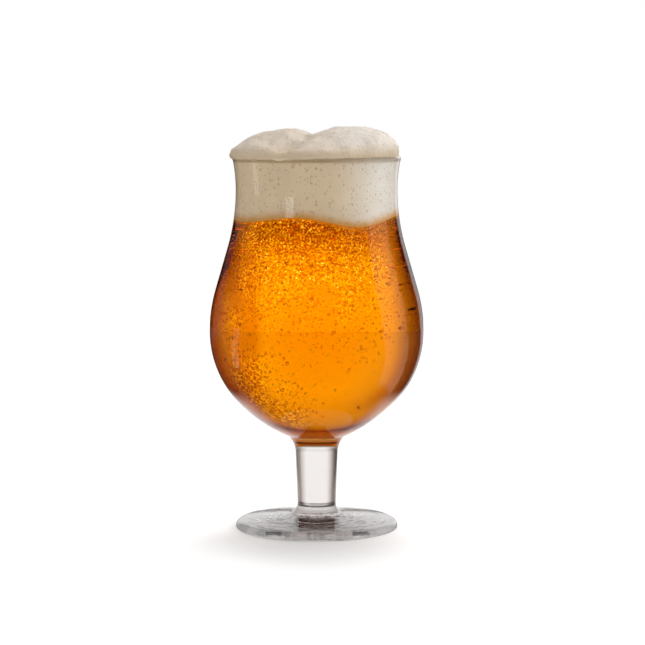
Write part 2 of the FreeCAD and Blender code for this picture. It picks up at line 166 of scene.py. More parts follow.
class Graph:
    """Node tree of a material, of the world or of a Geometry Nodes modifier."""

    def __init__(self, tree: bpy.types.NodeTree) -> None:
        """Start with an empty tree."""
        self.tree = tree
        self.tree.nodes.clear()

    def node(self, kind: str, settings: Mapping[str, Any], inputs: Mapping[Any, Term]) -> Outputs:
        """Add a node.

        Args:
            kind: Blender's type of the node.
            settings: Its properties, and for a ramp its stops, which are set first.
            inputs: A value or a link for each socket that is used.

        Returns:
            The node's outputs.
        """
        made = self.tree.nodes.new(kind)
        for name, setting in settings.items():
            if name == "stops":
                self.fill_ramp(made.color_ramp, setting)
            else:
                setattr(made, name, setting)
        for key, term in inputs.items():
            socket = pick(made.inputs, key)
            if isinstance(term, Value):
                self.tree.links.new(term.socket, socket)
            else:
                socket.default_value = term
        return Outputs(self, made)

    @staticmethod
    def fill_ramp(ramp: bpy.types.ColorRamp, stops: Sequence[tuple[float, Colour]]) -> None:
        """Give a ramp its stops.

        Args:
            ramp: The ramp of a Color Ramp node.
            stops: Place and colour of each stop.
        """
        while len(ramp.elements) < len(stops):
            ramp.elements.new(0.5)
        for element, (place, colour) in zip(ramp.elements, stops):
            element.position = place
            element.color = (*colour, 1.0)


class ShaderGraph(Graph):
    """Node tree of a material or of the world."""

    def mix(self, share: Term, one: Term, other: Term, blend: str = "MIX") -> Value:
        """Mix two colours.

        Args:
            share: How much of the other there is.
            one: First colour.
            other: Second colour.
            blend: Blender's name for how they are mixed.

        Returns:
            The mixed colour.
        """
        inputs = {"Factor_Float": share, "A_Color": rgba(one), "B_Color": rgba(other)}
        settings = {"data_type": "RGBA", "blend_type": blend}
        return self.node("ShaderNodeMix", settings, inputs)["Result_Color"]

    def tint(self, share: Term, tone: Value, colour: Colour) -> Value:
        """Tone that is multiplied by a colour over a share of the surface."""
        return self.mix(share, tone, self.mix(1.0, tone, colour, "MULTIPLY"))

    def place(self) -> Outputs:
        """Object coordinates of the point, taken apart."""
        return self.node("ShaderNodeSeparateXYZ", {}, {0: self.object_point()})

    def object_point(self) -> Value:
        """Object coordinates of the point."""
        return self.node("ShaderNodeTexCoord", {}, {})["Object"]

    def vector(self, *parts: Term) -> Value:
        """Vector of three parts."""
        return self.node("ShaderNodeCombineXYZ", {}, dict(enumerate(parts)))["Vector"]

    def grain(
        self, scale: float, detail: float = 2.0, roughness: float = 0.5, point: Union[Value, None] = None
    ) -> Value:
        """Noise with so many features to the metre, at a point or else in Object coordinates."""
        where = point or self.object_point()
        inputs = {"Vector": where, "Scale": scale, "Detail": detail, "Roughness": roughness}
        return self.node("ShaderNodeTexNoise", {}, inputs)[0]

    def ramp(self, place: Term, stops: Sequence[tuple[float, Colour]]) -> Value:
        """Colour that changes along a value from 0 to 1."""
        return self.node("ShaderNodeValToRGB", {"stops": stops}, {"Fac": place})["Color"]

    def facing(self) -> Value:
        """0 where the surface is seen square on, and 1 where it is seen edge on."""
        return self.node("ShaderNodeLayerWeight", {}, {"Blend": 0.5})["Facing"]

    def number(self, name: str) -> Value:
        """Number that the points of the mesh have under a name."""
        return self.node("ShaderNodeAttribute", {"attribute_name": name}, {})["Fac"]

    def cells(self, scale: float) -> Outputs:
        """Distance and random colour of scattered cells, with so many to the metre."""
        inputs = {"Vector": self.object_point(), "Scale": scale, "Randomness": 1.0}
        return self.node("ShaderNodeTexVoronoi", {}, inputs)

    def bump(
        self, height: Value, strength: float, distance: float, over: Union[Value, None] = None
    ) -> Value:
        """Bend the normal.

        Args:
            height: Height of the relief, from 0 to 1.
            strength: How strongly it shows.
            distance: Height that 1 stands for, in metres.
            over: Normal that is bent further, where there is one.

        Returns:
            The normal.
        """
        inputs = {"Height": height, "Strength": strength, "Distance": distance}
        if over:
            inputs["Normal"] = over
        return self.node("ShaderNodeBump", {}, inputs)["Normal"]

    def path(self) -> Outputs:
        """What kind of ray looks."""
        return self.node("ShaderNodeLightPath", {}, {})

    def mirror_ray(self) -> Value:
        """1 for a ray that was mirrored, and 0 for one that was bent."""
        path = self.path()
        return path["Is Glossy Ray"] * (1.0 - path["Is Transmission Ray"])

    def principled(self, inputs: Mapping[str, Term]) -> Value:
        """Shader of a finish from its named inputs."""
        return self.node("ShaderNodeBsdfPrincipled", {}, inputs)["BSDF"]

    def glassy(self, index: float, gloss: Colour, inputs: Mapping[str, Term]) -> Value:
        """Shader of a finish that bends light, with further named inputs."""
        bending = {"IOR": index, "Transmission Weight": 1.0, "Specular Tint": rgba(gloss)}
        return self.principled({**bending, **inputs})

    def see_through(self, tint: Colour) -> Value:
        """Shader that light passes straight through."""
        return self.node("ShaderNodeBsdfTransparent", {}, {"Color": rgba(tint)})["BSDF"]

    def blend(self, share: Term, one: Value, other: Value) -> Value:
        """Mix of two shaders."""
        return self.node("ShaderNodeMixShader", {}, {0: share, 1: one, 2: other})["Shader"]

    def surface(self, shader: Value) -> None:
        """Make a shader the surface of the material."""
        self.node("ShaderNodeOutputMaterial", {}, {"Surface": shader})


def rgba(colour: Term) -> Term:
    """Colour with its alpha, where it is written as three numbers."""
    return (*colour, 1.0) if isinstance(colour, tuple) and len(colour) == 3 else colour


def new_material(name: str) -> tuple[bpy.types.Material, ShaderGraph]:
    """Make an empty material.

    Args:
        name: Name of the finish.

    Returns:
        The material and its node tree.
    """
    material = bpy.data.materials.new(name)
    material.use_nodes = True
    return material, ShaderGraph(material.node_tree)


# Shape of the glass


class Outline:
    """Run of points along a half section: radius first, then height, in millimetres."""

    def __init__(self) -> None:
        """Start without a point."""
        self.points: list[Point] = []

    def add(self, points: Sequence[Point]) -> None:
        """Add points.

        Args:
            points: The points, of which any that repeats the last one is left out.
        """
        for point in points:
            if not self.points or math.dist(point, self.points[-1]) > 1e-6:
                self.points.append(point)

    def arc(self, centre: Point, radius: float, first: float, last: float) -> None:
        """Add an arc.

        Args:
            centre: Its centre.
            radius: Its radius.
            first: Direction of its start from the centre, in degrees.
            last: Direction of its end.
        """
        turn = abs(last - first)
        steps = max(2, math.ceil(turn / 6.0), math.ceil(math.radians(turn) * radius / 1.5))
        self.add([polar(centre, radius, first + (last - first) * i / steps) for i in range(steps + 1)])

    def line(self, end: Point, steps: int = 4) -> None:
        """Add a straight run from the last point.

        Args:
            end: Where it ends.
            steps: How many pieces it has.
        """
        (across, up), (to_across, to_up) = self.points[-1], end
        for i in range(1, steps + 1):
            self.add([(across + (to_across - across) * i / steps, up + (to_up - up) * i / steps)])


def polar(centre: Point, radius: float, degrees: float) -> Point:
    """Point at a radius and a direction from a centre."""
    turn = math.radians(degrees)
    return (centre[0] + radius * math.cos(turn), centre[1] + radius * math.sin(turn))


def dot(one: Point, other: Point) -> float:
    """Scalar product of two points taken as vectors."""
    return one[0] * other[0] + one[1] * other[1]


@dataclass(frozen=True)
class FootAndStem:
    """Upright section of the foot and the stem, in millimetres."""

    foot_radius: float = 33.45
    lower_round: float = 0.75
    upper_round: float = 2.36
    slope: float = 7.0
    ring_width: float = 4.4
    hollow_depth: float = 1.5
    fillet: float = 4.6
    stem_top: Point = (8.8, 31.5)
    taper: float = 2.3
    flare_round: float = 9.5
    flare_reach: float = 3.0

    @property
    def flare_centre(self) -> Point:
        """Middle of the round at the head of the stem."""
        return polar(self.stem_top, self.flare_round, -self.taper)

    @property
    def flare_turn(self) -> float:
        """Direction in which the seam lies from that middle, in degrees short of 180."""
        reach = self.flare_centre[0] - self.stem_top[0] - self.flare_reach
        return math.degrees(math.acos(reach / self.flare_round))

    @property
    def seam(self) -> Point:
        """Seam of the stem and the bowl."""
        return polar(self.flare_centre, self.flare_round, 180 - self.flare_turn)

    def outline(self) -> Outline:
        """Draw the outside.

        Returns:
            The points, from the middle of the underside to the seam with the bowl.
        """
        ring_edge = self.foot_radius - self.lower_round
        hollow_edge = ring_edge - self.ring_width
        hollow_round = (hollow_edge ** 2 + self.hollow_depth ** 2) / (2 * self.hollow_depth)
        hollow_turn = math.degrees(math.asin(hollow_edge / hollow_round))
        upper_centre = (self.foot_radius - self.upper_round, self.lower_round)
        slope_start = polar(upper_centre, self.upper_round, 90 - self.slope)
        fillet_centre = self.corner_centre(slope_start)

        outline = Outline()
        outline.arc((0, self.hollow_depth - hollow_round), hollow_round, 90, 90 - hollow_turn)
        outline.line((ring_edge, 0))
        outline.arc((ring_edge, self.lower_round), self.lower_round, -90, 0)
        outline.arc(upper_centre, self.upper_round, 0, 90 - self.slope)
        outline.line(polar(fillet_centre, self.fillet, -90 - self.slope))
        outline.arc(fillet_centre, self.fillet, 270 - self.slope, 180 - self.taper)
        outline.line(self.stem_top)
        outline.arc(self.flare_centre, self.flare_round, 180 - self.taper, 180 - self.flare_turn)
        return outline

    def corner_centre(self, slope_point: Point) -> Point:
        """Find the round between the sloping foot and the leaning stem.

        Args:
            slope_point: A point on the slope.

        Returns:
            Middle of the round.
        """
        slope = math.radians(self.slope)
        lean = math.radians(self.taper)
        slope_normal = (math.sin(slope), math.cos(slope))
        stem_normal = (math.cos(lean), -math.sin(lean))
        slope_reach = dot(slope_normal, slope_point) + self.fillet
        stem_reach = dot(stem_normal, self.stem_top) + self.fillet
        spread = slope_normal[0] * stem_normal[1] - slope_normal[1] * stem_normal[0]
        across = (slope_reach * stem_normal[1] - slope_normal[1] * stem_reach) / spread
        up = (slope_normal[0] * stem_reach - slope_reach * stem_normal[0]) / spread
        return (across, up)


@dataclass(frozen=True)
class BowlCurve:
    """Upright section of the bowl's side, in millimetres: two bellies, a taper, a waist and a lip."""

    belly_radius: float = 44.0
    belly_height: float = 81.41
    lower_belly_round: float = 41.86
    lower_belly_turn: float = 41.3
    waist_radius: float = 33.08
    waist_rise: float = 58.36
    taper_length: float = 18.1
    shoulder_share: float = 0.425
    lip_rise: float = 12.4
    lip_flare_round: float = 62.0
    lip_swell: float = 0.3
    wall: float = 2.0
    floor_reach: float = 8.0
    floor_corner: float = 8.0
    stem: FootAndStem = FootAndStem()

    @property
    def waist_height(self) -> float:
        """Height of the narrowest line."""
        return self.belly_height + self.waist_rise

    @property
    def lip_height(self) -> float:
        """Height of the middle of the lip."""
        return self.waist_height + self.lip_rise

    @property
    def lip_round(self) -> float:
        """Radius of the lip's section."""
        return self.wall / 2 + self.lip_swell

    @property
    def lip_sink(self) -> float:
        """Depth below the middle of the lip at which the wall meets its round."""
        return math.sqrt(self.lip_round ** 2 - (self.wall / 2) ** 2)

    def side(self, inset: float) -> Outline:
        """Side of the wall from the lower belly up to the lip.

        Args:
            inset: How far it lies inside the outer side.

        Returns:
            The points, from the bottom up.
        """
        draw_in = self.belly_radius - self.waist_radius
        total = (draw_in ** 2 + self.waist_rise ** 2 - self.taper_length ** 2) / (2 * draw_in)
        shoulder = total * self.shoulder_share
        waist = total - shoulder
        low_centre = (self.belly_radius - self.lower_belly_round, self.belly_height)
        shoulder_centre = (self.belly_radius - shoulder, self.belly_height)
        waist_centre = (self.waist_radius + waist, self.waist_height)
        lip_centre = (self.waist_radius + self.lip_flare_round, self.waist_height)
        between = math.atan2(self.waist_rise, waist_centre[0] - shoulder_centre[0])
        tilt = math.degrees(between - math.atan2(self.taper_length, total))
        lip_round = self.lip_flare_round + inset
        lip_turn = math.degrees(math.asin((self.lip_rise - self.lip_sink) / lip_round))

        outline = Outline()
        outline.arc(low_centre, self.lower_belly_round - inset, -self.lower_belly_turn, 0)
        outline.arc(shoulder_centre, shoulder - inset, 0, tilt)
        outline.line(polar(waist_centre, -(waist + inset), tilt))
        outline.arc(waist_centre, waist + inset, 180 + tilt, 180)
        outline.arc(lip_centre, lip_round, 180, 180 - lip_turn)
        return outline

    def inside(self, inset: float) -> Outline:
        """Inside of the bowl from the middle of its floor up to the lip.

        Args:
            inset: How far it lies inside the outer side.

        Returns:
            The points, from the axis outwards and up.
        """
        centre, radius = self.under()
        reach = radius - self.wall - self.floor_corner
        corner_up = centre[1] - math.sqrt(reach ** 2 - (self.floor_reach - centre[0]) ** 2)
        corner = self.floor_corner + self.wall - inset
        turn = math.degrees(math.atan2(corner_up - centre[1], self.floor_reach - centre[0]))
        outline = Outline()
        outline.add([(0.0, corner_up - corner)])
        outline.line((self.floor_reach, corner_up - corner))
        outline.arc((self.floor_reach, corner_up), corner, -90, turn)
        outline.arc(centre, radius - inset, turn, -self.lower_belly_turn)
        outline.add(self.side(inset).points)
        return outline

    def under(self) -> tuple[Point, float]:
        """Find the round underside between the seam and the lower belly.

        Returns:
            Its middle and its outside radius.
        """
        start = self.side(0.0).points[0]
        seam = self.stem.seam
        outward = polar((0, 0), 1, -self.lower_belly_turn)
        chord = (start[0] - seam[0], start[1] - seam[1])
        radius = dot(chord, chord) / (2 * dot(chord, outward))
        return polar(start, -radius, -self.lower_belly_turn), radius

    def radius_at(self, height: np.ndarray, inset: float) -> np.ndarray:
        """Radius of the side at some heights, where it lies so far inside the outer side."""
        points = np.array(self.inside(inset).points)
        return np.interp(height, points[:, 1], points[:, 0])


# Meshes


def ring_faces(count: int, segments: int) -> list[list[int]]:
    """Join rings of points, each to the next.

    Args:
        count: How many rings there are.
        segments: How many points a ring has.

    Returns:
        The points' numbers for each face.
    """
    start = np.arange(count - 1)[:, None] * segments
    here = np.arange(segments)
    following = np.roll(here, -1)
    corners = [start + here, start + following, start + segments + following, start + segments + here]
    return np.stack(corners, -1).reshape(-1, 4).tolist()


def skin(
    name: str, rings: np.ndarray, first: Sequence[float], last: Sequence[float]
) -> tuple[bpy.types.Mesh, np.ndarray]:
    """Make a closed skin through rings of points.

    Args:
        name: Name of the mesh.
        rings: Points in millimetres, as rings by segments by 3, from the bottom outwards and up.
        first: Point that closes the first ring.
        last: Point that closes the last ring.

    Returns:
        The mesh, in metres and smooth but for its sharp corners, and its points in millimetres.
    """
    count, segments = rings.shape[:2]
    points = np.concatenate([rings.reshape(-1, 3), [first], [last]])
    faces = ring_faces(count, segments)
    bottom = count * segments
    top_ring = (count - 1) * segments
    faces += [[bottom, (i + 1) % segments, i] for i in range(segments)]
    faces += [[bottom + 1, top_ring + i, top_ring + (i + 1) % segments] for i in range(segments)]
    mesh = bpy.data.meshes.new(name)
    mesh.from_pydata((points * MM).tolist(), [], faces)
    mesh.shade_smooth()
    mesh.set_sharp_from_angle(angle=math.radians(35))
    return mesh, points


def weighted_wall(name: str, rings: np.ndarray, weight: np.ndarray) -> bpy.types.Mesh:
    """Make an open wall through rings of points.

    Args:
        name: Name of the mesh.
        rings: Points in millimetres, as rings by segments by 3.
        weight: How crowded the bubbles are at each point, from 0 to 1.

    Returns:
        The mesh, in metres.
    """
    mesh = bpy.data.meshes.new(name)
    mesh.from_pydata((rings.reshape(-1, 3) * MM).tolist(), [], ring_faces(*rings.shape[:2]))
    add_numbers(mesh, "weight", weight)
    return mesh


def points_of(mesh: bpy.types.Mesh) -> np.ndarray:
    """Read the points of a mesh.

    Args:
        mesh: The mesh, in metres.

    Returns:
        Its points in millimetres.
    """
    points = np.empty(len(mesh.vertices) * 3, np.float32)
    mesh.vertices.foreach_get("co", points)
    return points.reshape(-1, 3) / MM


def bell(place: np.ndarray, middle: float, half: Union[float, np.ndarray], power: int = 2) -> np.ndarray:
    """Bell curve that is 1 in its middle; its flanks are steeper with a higher power."""
    return np.exp(-(((place - middle) / half) ** power))


def turn_of(points: np.ndarray) -> np.ndarray:
    """Turns of points about the axis, in degrees from the viewer towards the right."""
    return np.degrees(np.arctan2(points[:, 0], -points[:, 1]))


def patches(points: np.ndarray, size: float) -> np.ndarray:
    """Soft random numbers from about -1 to 1, in patches of a size in millimetres."""
    return np.array([noise.noise(Vector([float(c) for c in point]) / size) for point in points])


def azimuths(segments: int) -> np.ndarray:
    """Directions of the segments of a ring, in radians from +X."""
    return np.arange(segments) * (2 * math.pi / segments)


def directions(segments: int) -> np.ndarray:
    """The same directions, as vectors of length 1."""
    turn = azimuths(segments)
    return np.stack([np.cos(turn), np.sin(turn)], -1)


def turned(outline: Sequence[Point], segments: int) -> np.ndarray:
    """Rings of a section that is turned about Z.

    Args:
        outline: Radius and height of each ring.
        segments: How many points a ring has.

    Returns:
        Points as rings by segments by 3.
    """
    turn = azimuths(segments)
    section = np.array(outline)
    across = section[:, :1] * np.cos(turn)
    back = section[:, :1] * np.sin(turn)
    up = np.repeat(section[:, 1:], segments, axis=1)
    return np.stack([across, back, up], -1)


def new_piece(name: str, mesh: bpy.types.Mesh, material: bpy.types.Material) -> bpy.types.Object:
    """Make an object at the origin.

    Args:
        name: Name of the piece.
        mesh: Its mesh, in place.
        material: Its finish.

    Returns:
        The object.
    """
    mesh.materials.clear()
    mesh.materials.append(material)
    piece = bpy.data.objects.new(name, mesh)
    bpy.context.scene.collection.objects.link(piece)
    return piece


def add_numbers(mesh: bpy.types.Mesh, name: str, numbers: np.ndarray) -> None:
    """Give each point of a mesh a number under a name."""
    attribute = mesh.attributes.new(name, "FLOAT", "POINT")
    attribute.data.foreach_set("value", numbers.astype(np.float32))


# Finishes


Stops = tuple[tuple[float, Colour], ...]


@dataclass(frozen=True)
class ClearGlass:
    """Clear glass whose colour carries painted shade where it is seen edge on, the more where it is thick.
    """

    index: float = 1.5
    bowl_shadow: Colour = (0.94, 0.94, 0.94)
    foot_shadow: Colour = (0.36, 0.36, 0.36)
    gloss: Colour = (0.85, 0.85, 0.85)
    wet_gloss: Colour = (0.02, 0.02, 0.02)
    underside: Colour = (0.97, 0.95, 0.94)
    # Painted shade: ramps by how edge on the glass is seen darken its edges, for foot, stem, bowl and
    # foam.
    foot_edge: Stops = (
        (0.5, (0.9, 0.88, 0.87)),
        (0.8, (0.8, 0.77, 0.76)),
        (1.0, (0.95, 0.94, 0.94)),
    )
    stem_edge: Stops = (
        (0.0, (0.8, 0.77, 0.76)),
        (0.16, (0.8, 0.76, 0.74)),
        (0.28, (0.46, 0.4, 0.37)),
        (0.42, (0.12, 0.09, 0.08)),
        (0.64, (0.07, 0.05, 0.04)),
        (0.8, (0.4, 0.36, 0.34)),
    )
    left_edge: Stops = (
        (0.56, (1.0, 1.0, 1.0)),
        (0.64, (0.85, 0.56, 0.28)),
        (0.74, (0.76, 0.46, 0.2)),
        (0.84, (0.92, 0.74, 0.6)),
    )
    right_edge: Stops = (
        (0.56, (1.0, 1.0, 1.0)),
        (0.64, (0.7, 0.5, 0.38)),
        (0.74, (0.62, 0.44, 0.36)),
        (0.84, (0.95, 0.84, 0.8)),
    )
    foam_edge: Stops = (
        (0.5, (1.0, 1.0, 1.0)),
        (0.66, (1.0, 0.98, 0.95)),
        (0.74, (1.0, 0.96, 0.92)),
        (0.84, (1.0, 1.0, 1.0)),
    )
    # Painted shade: a dark band at the seam of stem and bowl.
    painted_seam_shade: Colour = (0.16, 0.1, 0.06)
    # Painted shade: a dark flag's reflection, tinted onto the right side of the stem.
    painted_flag_shade: Colour = (0.2, 0.16, 0.14)
    # Painted reflection: a flat brown that mirrored rays see low in the glass, in place of the stem and
    # beer.
    painted_stem_reflection: Colour = (0.13, 0.07, 0.045)
    wave_strength: float = 0.16
    wave_depth: float = 0.0006
    streak_length: float = 0.008
    foot_waves: Span = (0.008, 0.005)
    foot_to_stem: Span = (0.0075, 0.0105)
    stem_to_bowl: Span = (0.033, 0.037)
    bowl_to_foam: Span = (0.122, 0.13)
    left_to_right: Span = (0.0, 0.03)
    painted_flag_side: Span = (0.0035, 0.0085)
    painted_seam_part: Band = ((0.0346, 0.0354), (0.0387, 0.0379))
    dull_part: Band = ((0.124, 0.116), (0.031, 0.034))
    dull_side: Span = (0.022, 0.01)
    dull_below: Span = (0.05, 0.045)
    painted_reflection_part: Band = ((0.007, 0.009), (0.037, 0.034))
    above_stem: Span = (0.034, 0.042)

    def material(self) -> bpy.types.Material:
        """Make the finish.

        Returns:
            Material of the glass.
        """
        made, graph = new_material("clear_glass")
        place = graph.place()
        height, across = place["Z"], place["X"]
        streaks = self.streaks(graph, across, place["Y"])
        waves = streaks * height.step(*self.foot_waves)
        inputs = {
            "Base Color": self.tone(graph, height, across),
            "Normal": graph.bump(waves, self.wave_strength, self.wave_depth),
            "Roughness": graph.grain(70.0, 3.0).step(0.58, 0.8) * 0.02,
        }
        dry = graph.glassy(self.index, self.gloss, inputs)
        wet = graph.glassy(self.index, self.wet_gloss, inputs)
        beside = across.step(*self.dull_side).most(height.step(*self.dull_below))
        dull = height.band(self.dull_part) * beside
        glass = graph.blend(graph.number("wet").most(dull), dry, wet)
        clear = graph.number("underside") * (streaks.step(0.4, 0.56) * 0.62 + 0.28)
        glass = graph.blend(clear, glass, graph.see_through(self.underside))
        # Painted reflection in the foot and stem: mirrored rays see a flat brown.
        inputs = {"Base Color": rgba(self.painted_stem_reflection), "Roughness": 0.8, "Specular IOR Level": 0.0}
        mirrored = graph.mirror_ray() * height.band(self.painted_reflection_part)
        glass = graph.blend(mirrored, glass, graph.principled(inputs))
        share = height.step(*self.above_stem)
        graph.surface(light_through(graph, glass, self.foot_shadow, self.bowl_shadow, share))
        return made

    def tone(self, graph: ShaderGraph, height: Value, across: Value) -> Value:
        """Colour the glass by its regions, with painted shade by how edge on it is seen, at the seam and
        on the stem's right.

        Args:
            graph: Tree of the material.
            height: Height of the point.
            across: Its place to the right of the axis.

        Returns:
            The colour.
        """
        facing = graph.facing()
        # Painted shade of a dark flag on the stem's right side.
        stem = graph.tint(across.step(*self.painted_flag_side), graph.ramp(facing, self.stem_edge), self.painted_flag_shade)
        left, right = graph.ramp(facing, self.left_edge), graph.ramp(facing, self.right_edge)
        bowl = graph.mix(across.step(*self.left_to_right), left, right)
        tone = graph.mix(height.step(*self.foot_to_stem), graph.ramp(facing, self.foot_edge), stem)
        tone = graph.mix(height.step(*self.stem_to_bowl), tone, bowl)
        # Painted shade at the seam of stem and bowl.
        tone = graph.mix(height.band(self.painted_seam_part), tone, self.painted_seam_shade)
        return graph.mix(height.step(*self.bowl_to_foam), tone, graph.ramp(facing, self.foam_edge))

    def streaks(self, graph: ShaderGraph, across: Value, back: Value) -> Value:
        """Draw noise out in rings about the axis, as the pressing left them in the foot.

        Args:
            graph: Tree of the material.
            across: The point's place to the right of the axis.
            back: Its place behind the axis.

        Returns:
            The noise.
        """
        reach = (across * across + back * back).root()
        length = self.streak_length
        ring = graph.vector(reach, across / reach * length, back / reach * length)
        return graph.grain(420.0, 3.0, 0.6, ring)


def light_through(
    graph: ShaderGraph,
    shader: Value,
    tint: Colour,
    other_tint: Union[Colour, None] = None,
    share: Term = 0.0,
) -> Value:
    """Let lamps shine through a clear finish.

    Args:
        graph: Tree of the material.
        shader: The finish itself.
        tint: Share of the light that each surface lets through.
        other_tint: The same for another region, where there is one.
        share: 1 in that region and 0 elsewhere.

    Returns:
        The finish, which is plainly see-through for shadow rays.
    """
    clear = graph.see_through(tint)
    if other_tint:
        clear = graph.blend(share, clear, graph.see_through(other_tint))
    return graph.blend(graph.path()["Is Shadow Ray"], shader, clear)


@dataclass(frozen=True)
class AmberBeer:
    """Clear amber beer with fine gas on its skin; painted shade darkens it towards its edges and under the
    foam, and painted glow lights its gas, the foam line, a haze and its floor.
    """

    index: float = 1.33
    density: float = 260.0
    absorption: Colour = (0.99815, 0.9363, 0.0)
    shadow: Colour = (0.4, 0.45, 0.6)
    gloss: Colour = (0.0, 0.0, 0.0)
    # Painted shade: the skin darkens by how edge on it is seen, warm rather than dark low down.
    edge: Stops = (
        (0.09, (1.0, 1.0, 1.0)),
        (0.135, (0.84, 0.74, 0.7)),
        (0.165, (0.6, 0.44, 0.34)),
        (0.19, (0.38, 0.2, 0.12)),
        (0.215, (0.24, 0.1, 0.02)),
        (0.26, (0.2, 0.06, 0.0)),
    )
    low_edge: Colour = (0.84, 0.66, 0.2)
    left_shade: Colour = (0.6, 0.36, 0.4)
    right_shade: Colour = (0.46, 0.46, 0.7)
    streak: Colour = (0.3, 0.12, 0.03)
    floor_glow: Colour = (0.3, 0.09, 0.0)
    # Painted glow: a warm emission over the froth zone; the froth itself is real.
    haze: Colour = (0.21, 0.075, 0.01)
    # Painted glow: a warm emission just under the foam line.
    line: Colour = (0.3, 0.11, 0.0)
    # Darker under the foam: painted shade from the foam, and partly the haze of fine gas.
    under_foam: Stops = (
        (0.0, (0.66, 0.44, 0.3)),
        (0.05, (0.36, 0.17, 0.08)),
        (0.18, (0.36, 0.18, 0.1)),
        (0.45, (0.68, 0.5, 0.4)),
        (0.7, (0.95, 0.9, 0.85)),
        (1.0, (1.0, 1.0, 1.0)),
    )
    fade: float = 31.0
    gas_dark: Colour = (0.6, 0.25, 0.04)
    # Painted glints: an emission that some gas under the foam glows with.
    painted_gas_glint: Colour = (0.34, 0.17, 0.0)
    low_part: Span = (0.06, 0.046)
    front: Span = (0.004, -0.004)
    left_band: Band = ((-0.019, -0.025), (-0.037, -0.031))
    left_band_top: Span = (0.12, 0.112)
    right_band: Span = (0.027, 0.037)
    painted_line_glow_band: Span = (0.055, -0.01)
    floor_band: Span = (0.0445, 0.0415)

    def material(self) -> bpy.types.Material:
        """Make the finish.

        Returns:
            Material of the beer.
        """
        made, graph = new_material("amber_beer")
        place = graph.place()
        depth = graph.number("above_line") * (-1.0 / self.fade)
        crowd, haze = graph.number("crowd"), graph.number("haze")
        gas = graph.grain(1150.0, 1.0)
        dark = (crowd * 0.21 + 0.29 - gas).step(-0.015, 0.03)
        # Painted glints: spots of gas under the foam glow amber.
        light = (gas - 0.55).step(-0.01, 0.03) * crowd.step(0.15, 0.7)
        glow = graph.mix(light, BLACK, self.painted_gas_glint)
        # Painted glow just under the foam line.
        glow = graph.mix(depth.step(*self.painted_line_glow_band) * 0.8, glow, self.line)
        # Painted glow over the froth zone, broken up by noise.
        froth = haze * (graph.grain(900.0).step(0.42, 0.62) * 0.7 + 0.3)
        glow = graph.mix(froth, glow, self.haze)
        tone = graph.tint(haze * 0.5, self.tone(graph, place, depth), self.gas_dark)
        inputs = {
            "Base Color": graph.tint(dark * 0.85, tone, self.gas_dark),
            "Roughness": graph.grain(260.0).step(0.5, 0.9) * 0.02,
            "Emission Color": graph.mix(place["Z"].step(*self.floor_band), glow, self.floor_glow),
            "Emission Strength": 1.0,
        }
        liquid = graph.glassy(self.index, self.gloss, inputs)
        inputs = {"Color": rgba(self.absorption), "Density": self.density}
        volume = graph.node("ShaderNodeVolumeAbsorption", {}, inputs)["Volume"]
        surface = light_through(graph, liquid, self.shadow)
        graph.node("ShaderNodeOutputMaterial", {}, {"Surface": surface, "Volume": volume})
        return made

    def tone(self, graph: ShaderGraph, place: Outputs, depth: Value) -> Value:
        """Colour the beer's skin with painted shade at its edges, on its front and under the foam, but for
        its gas.

        Args:
            graph: Tree of the material.
            place: Object coordinates of the point.
            depth: How far it lies below the foam, as a share of the fade.

        Returns:
            The colour.
        """
        across, back, height = place["X"], place["Y"], place["Z"]
        facing = graph.facing()
        # Painted shade at the edges by how edge on they are seen.
        edge = graph.mix(height.step(*self.low_part), graph.ramp(facing, self.edge), self.low_edge)
        # Painted shade under the foam, partly the haze of fine gas, kept off the edges.
        top = graph.mix(facing.step(0.1, 0.2) * 0.7, graph.ramp(depth, self.under_foam), WHITE)
        tone = graph.mix(1.0, edge, top, "MULTIPLY")
        front = back.step(*self.front)
        band = across.band(self.left_band) * front * height.step(*self.left_band_top)
        tone = graph.tint(band, tone, self.left_shade)
        tone = graph.tint(across.step(*self.right_band) * front, tone, self.right_shade)
        tall = graph.vector(across, back, height * 0.4)
        streaks = graph.grain(620.0, point=tall).step(0.5, 0.57) * graph.number("streaks")
        return graph.tint(streaks, tone, self.streak)


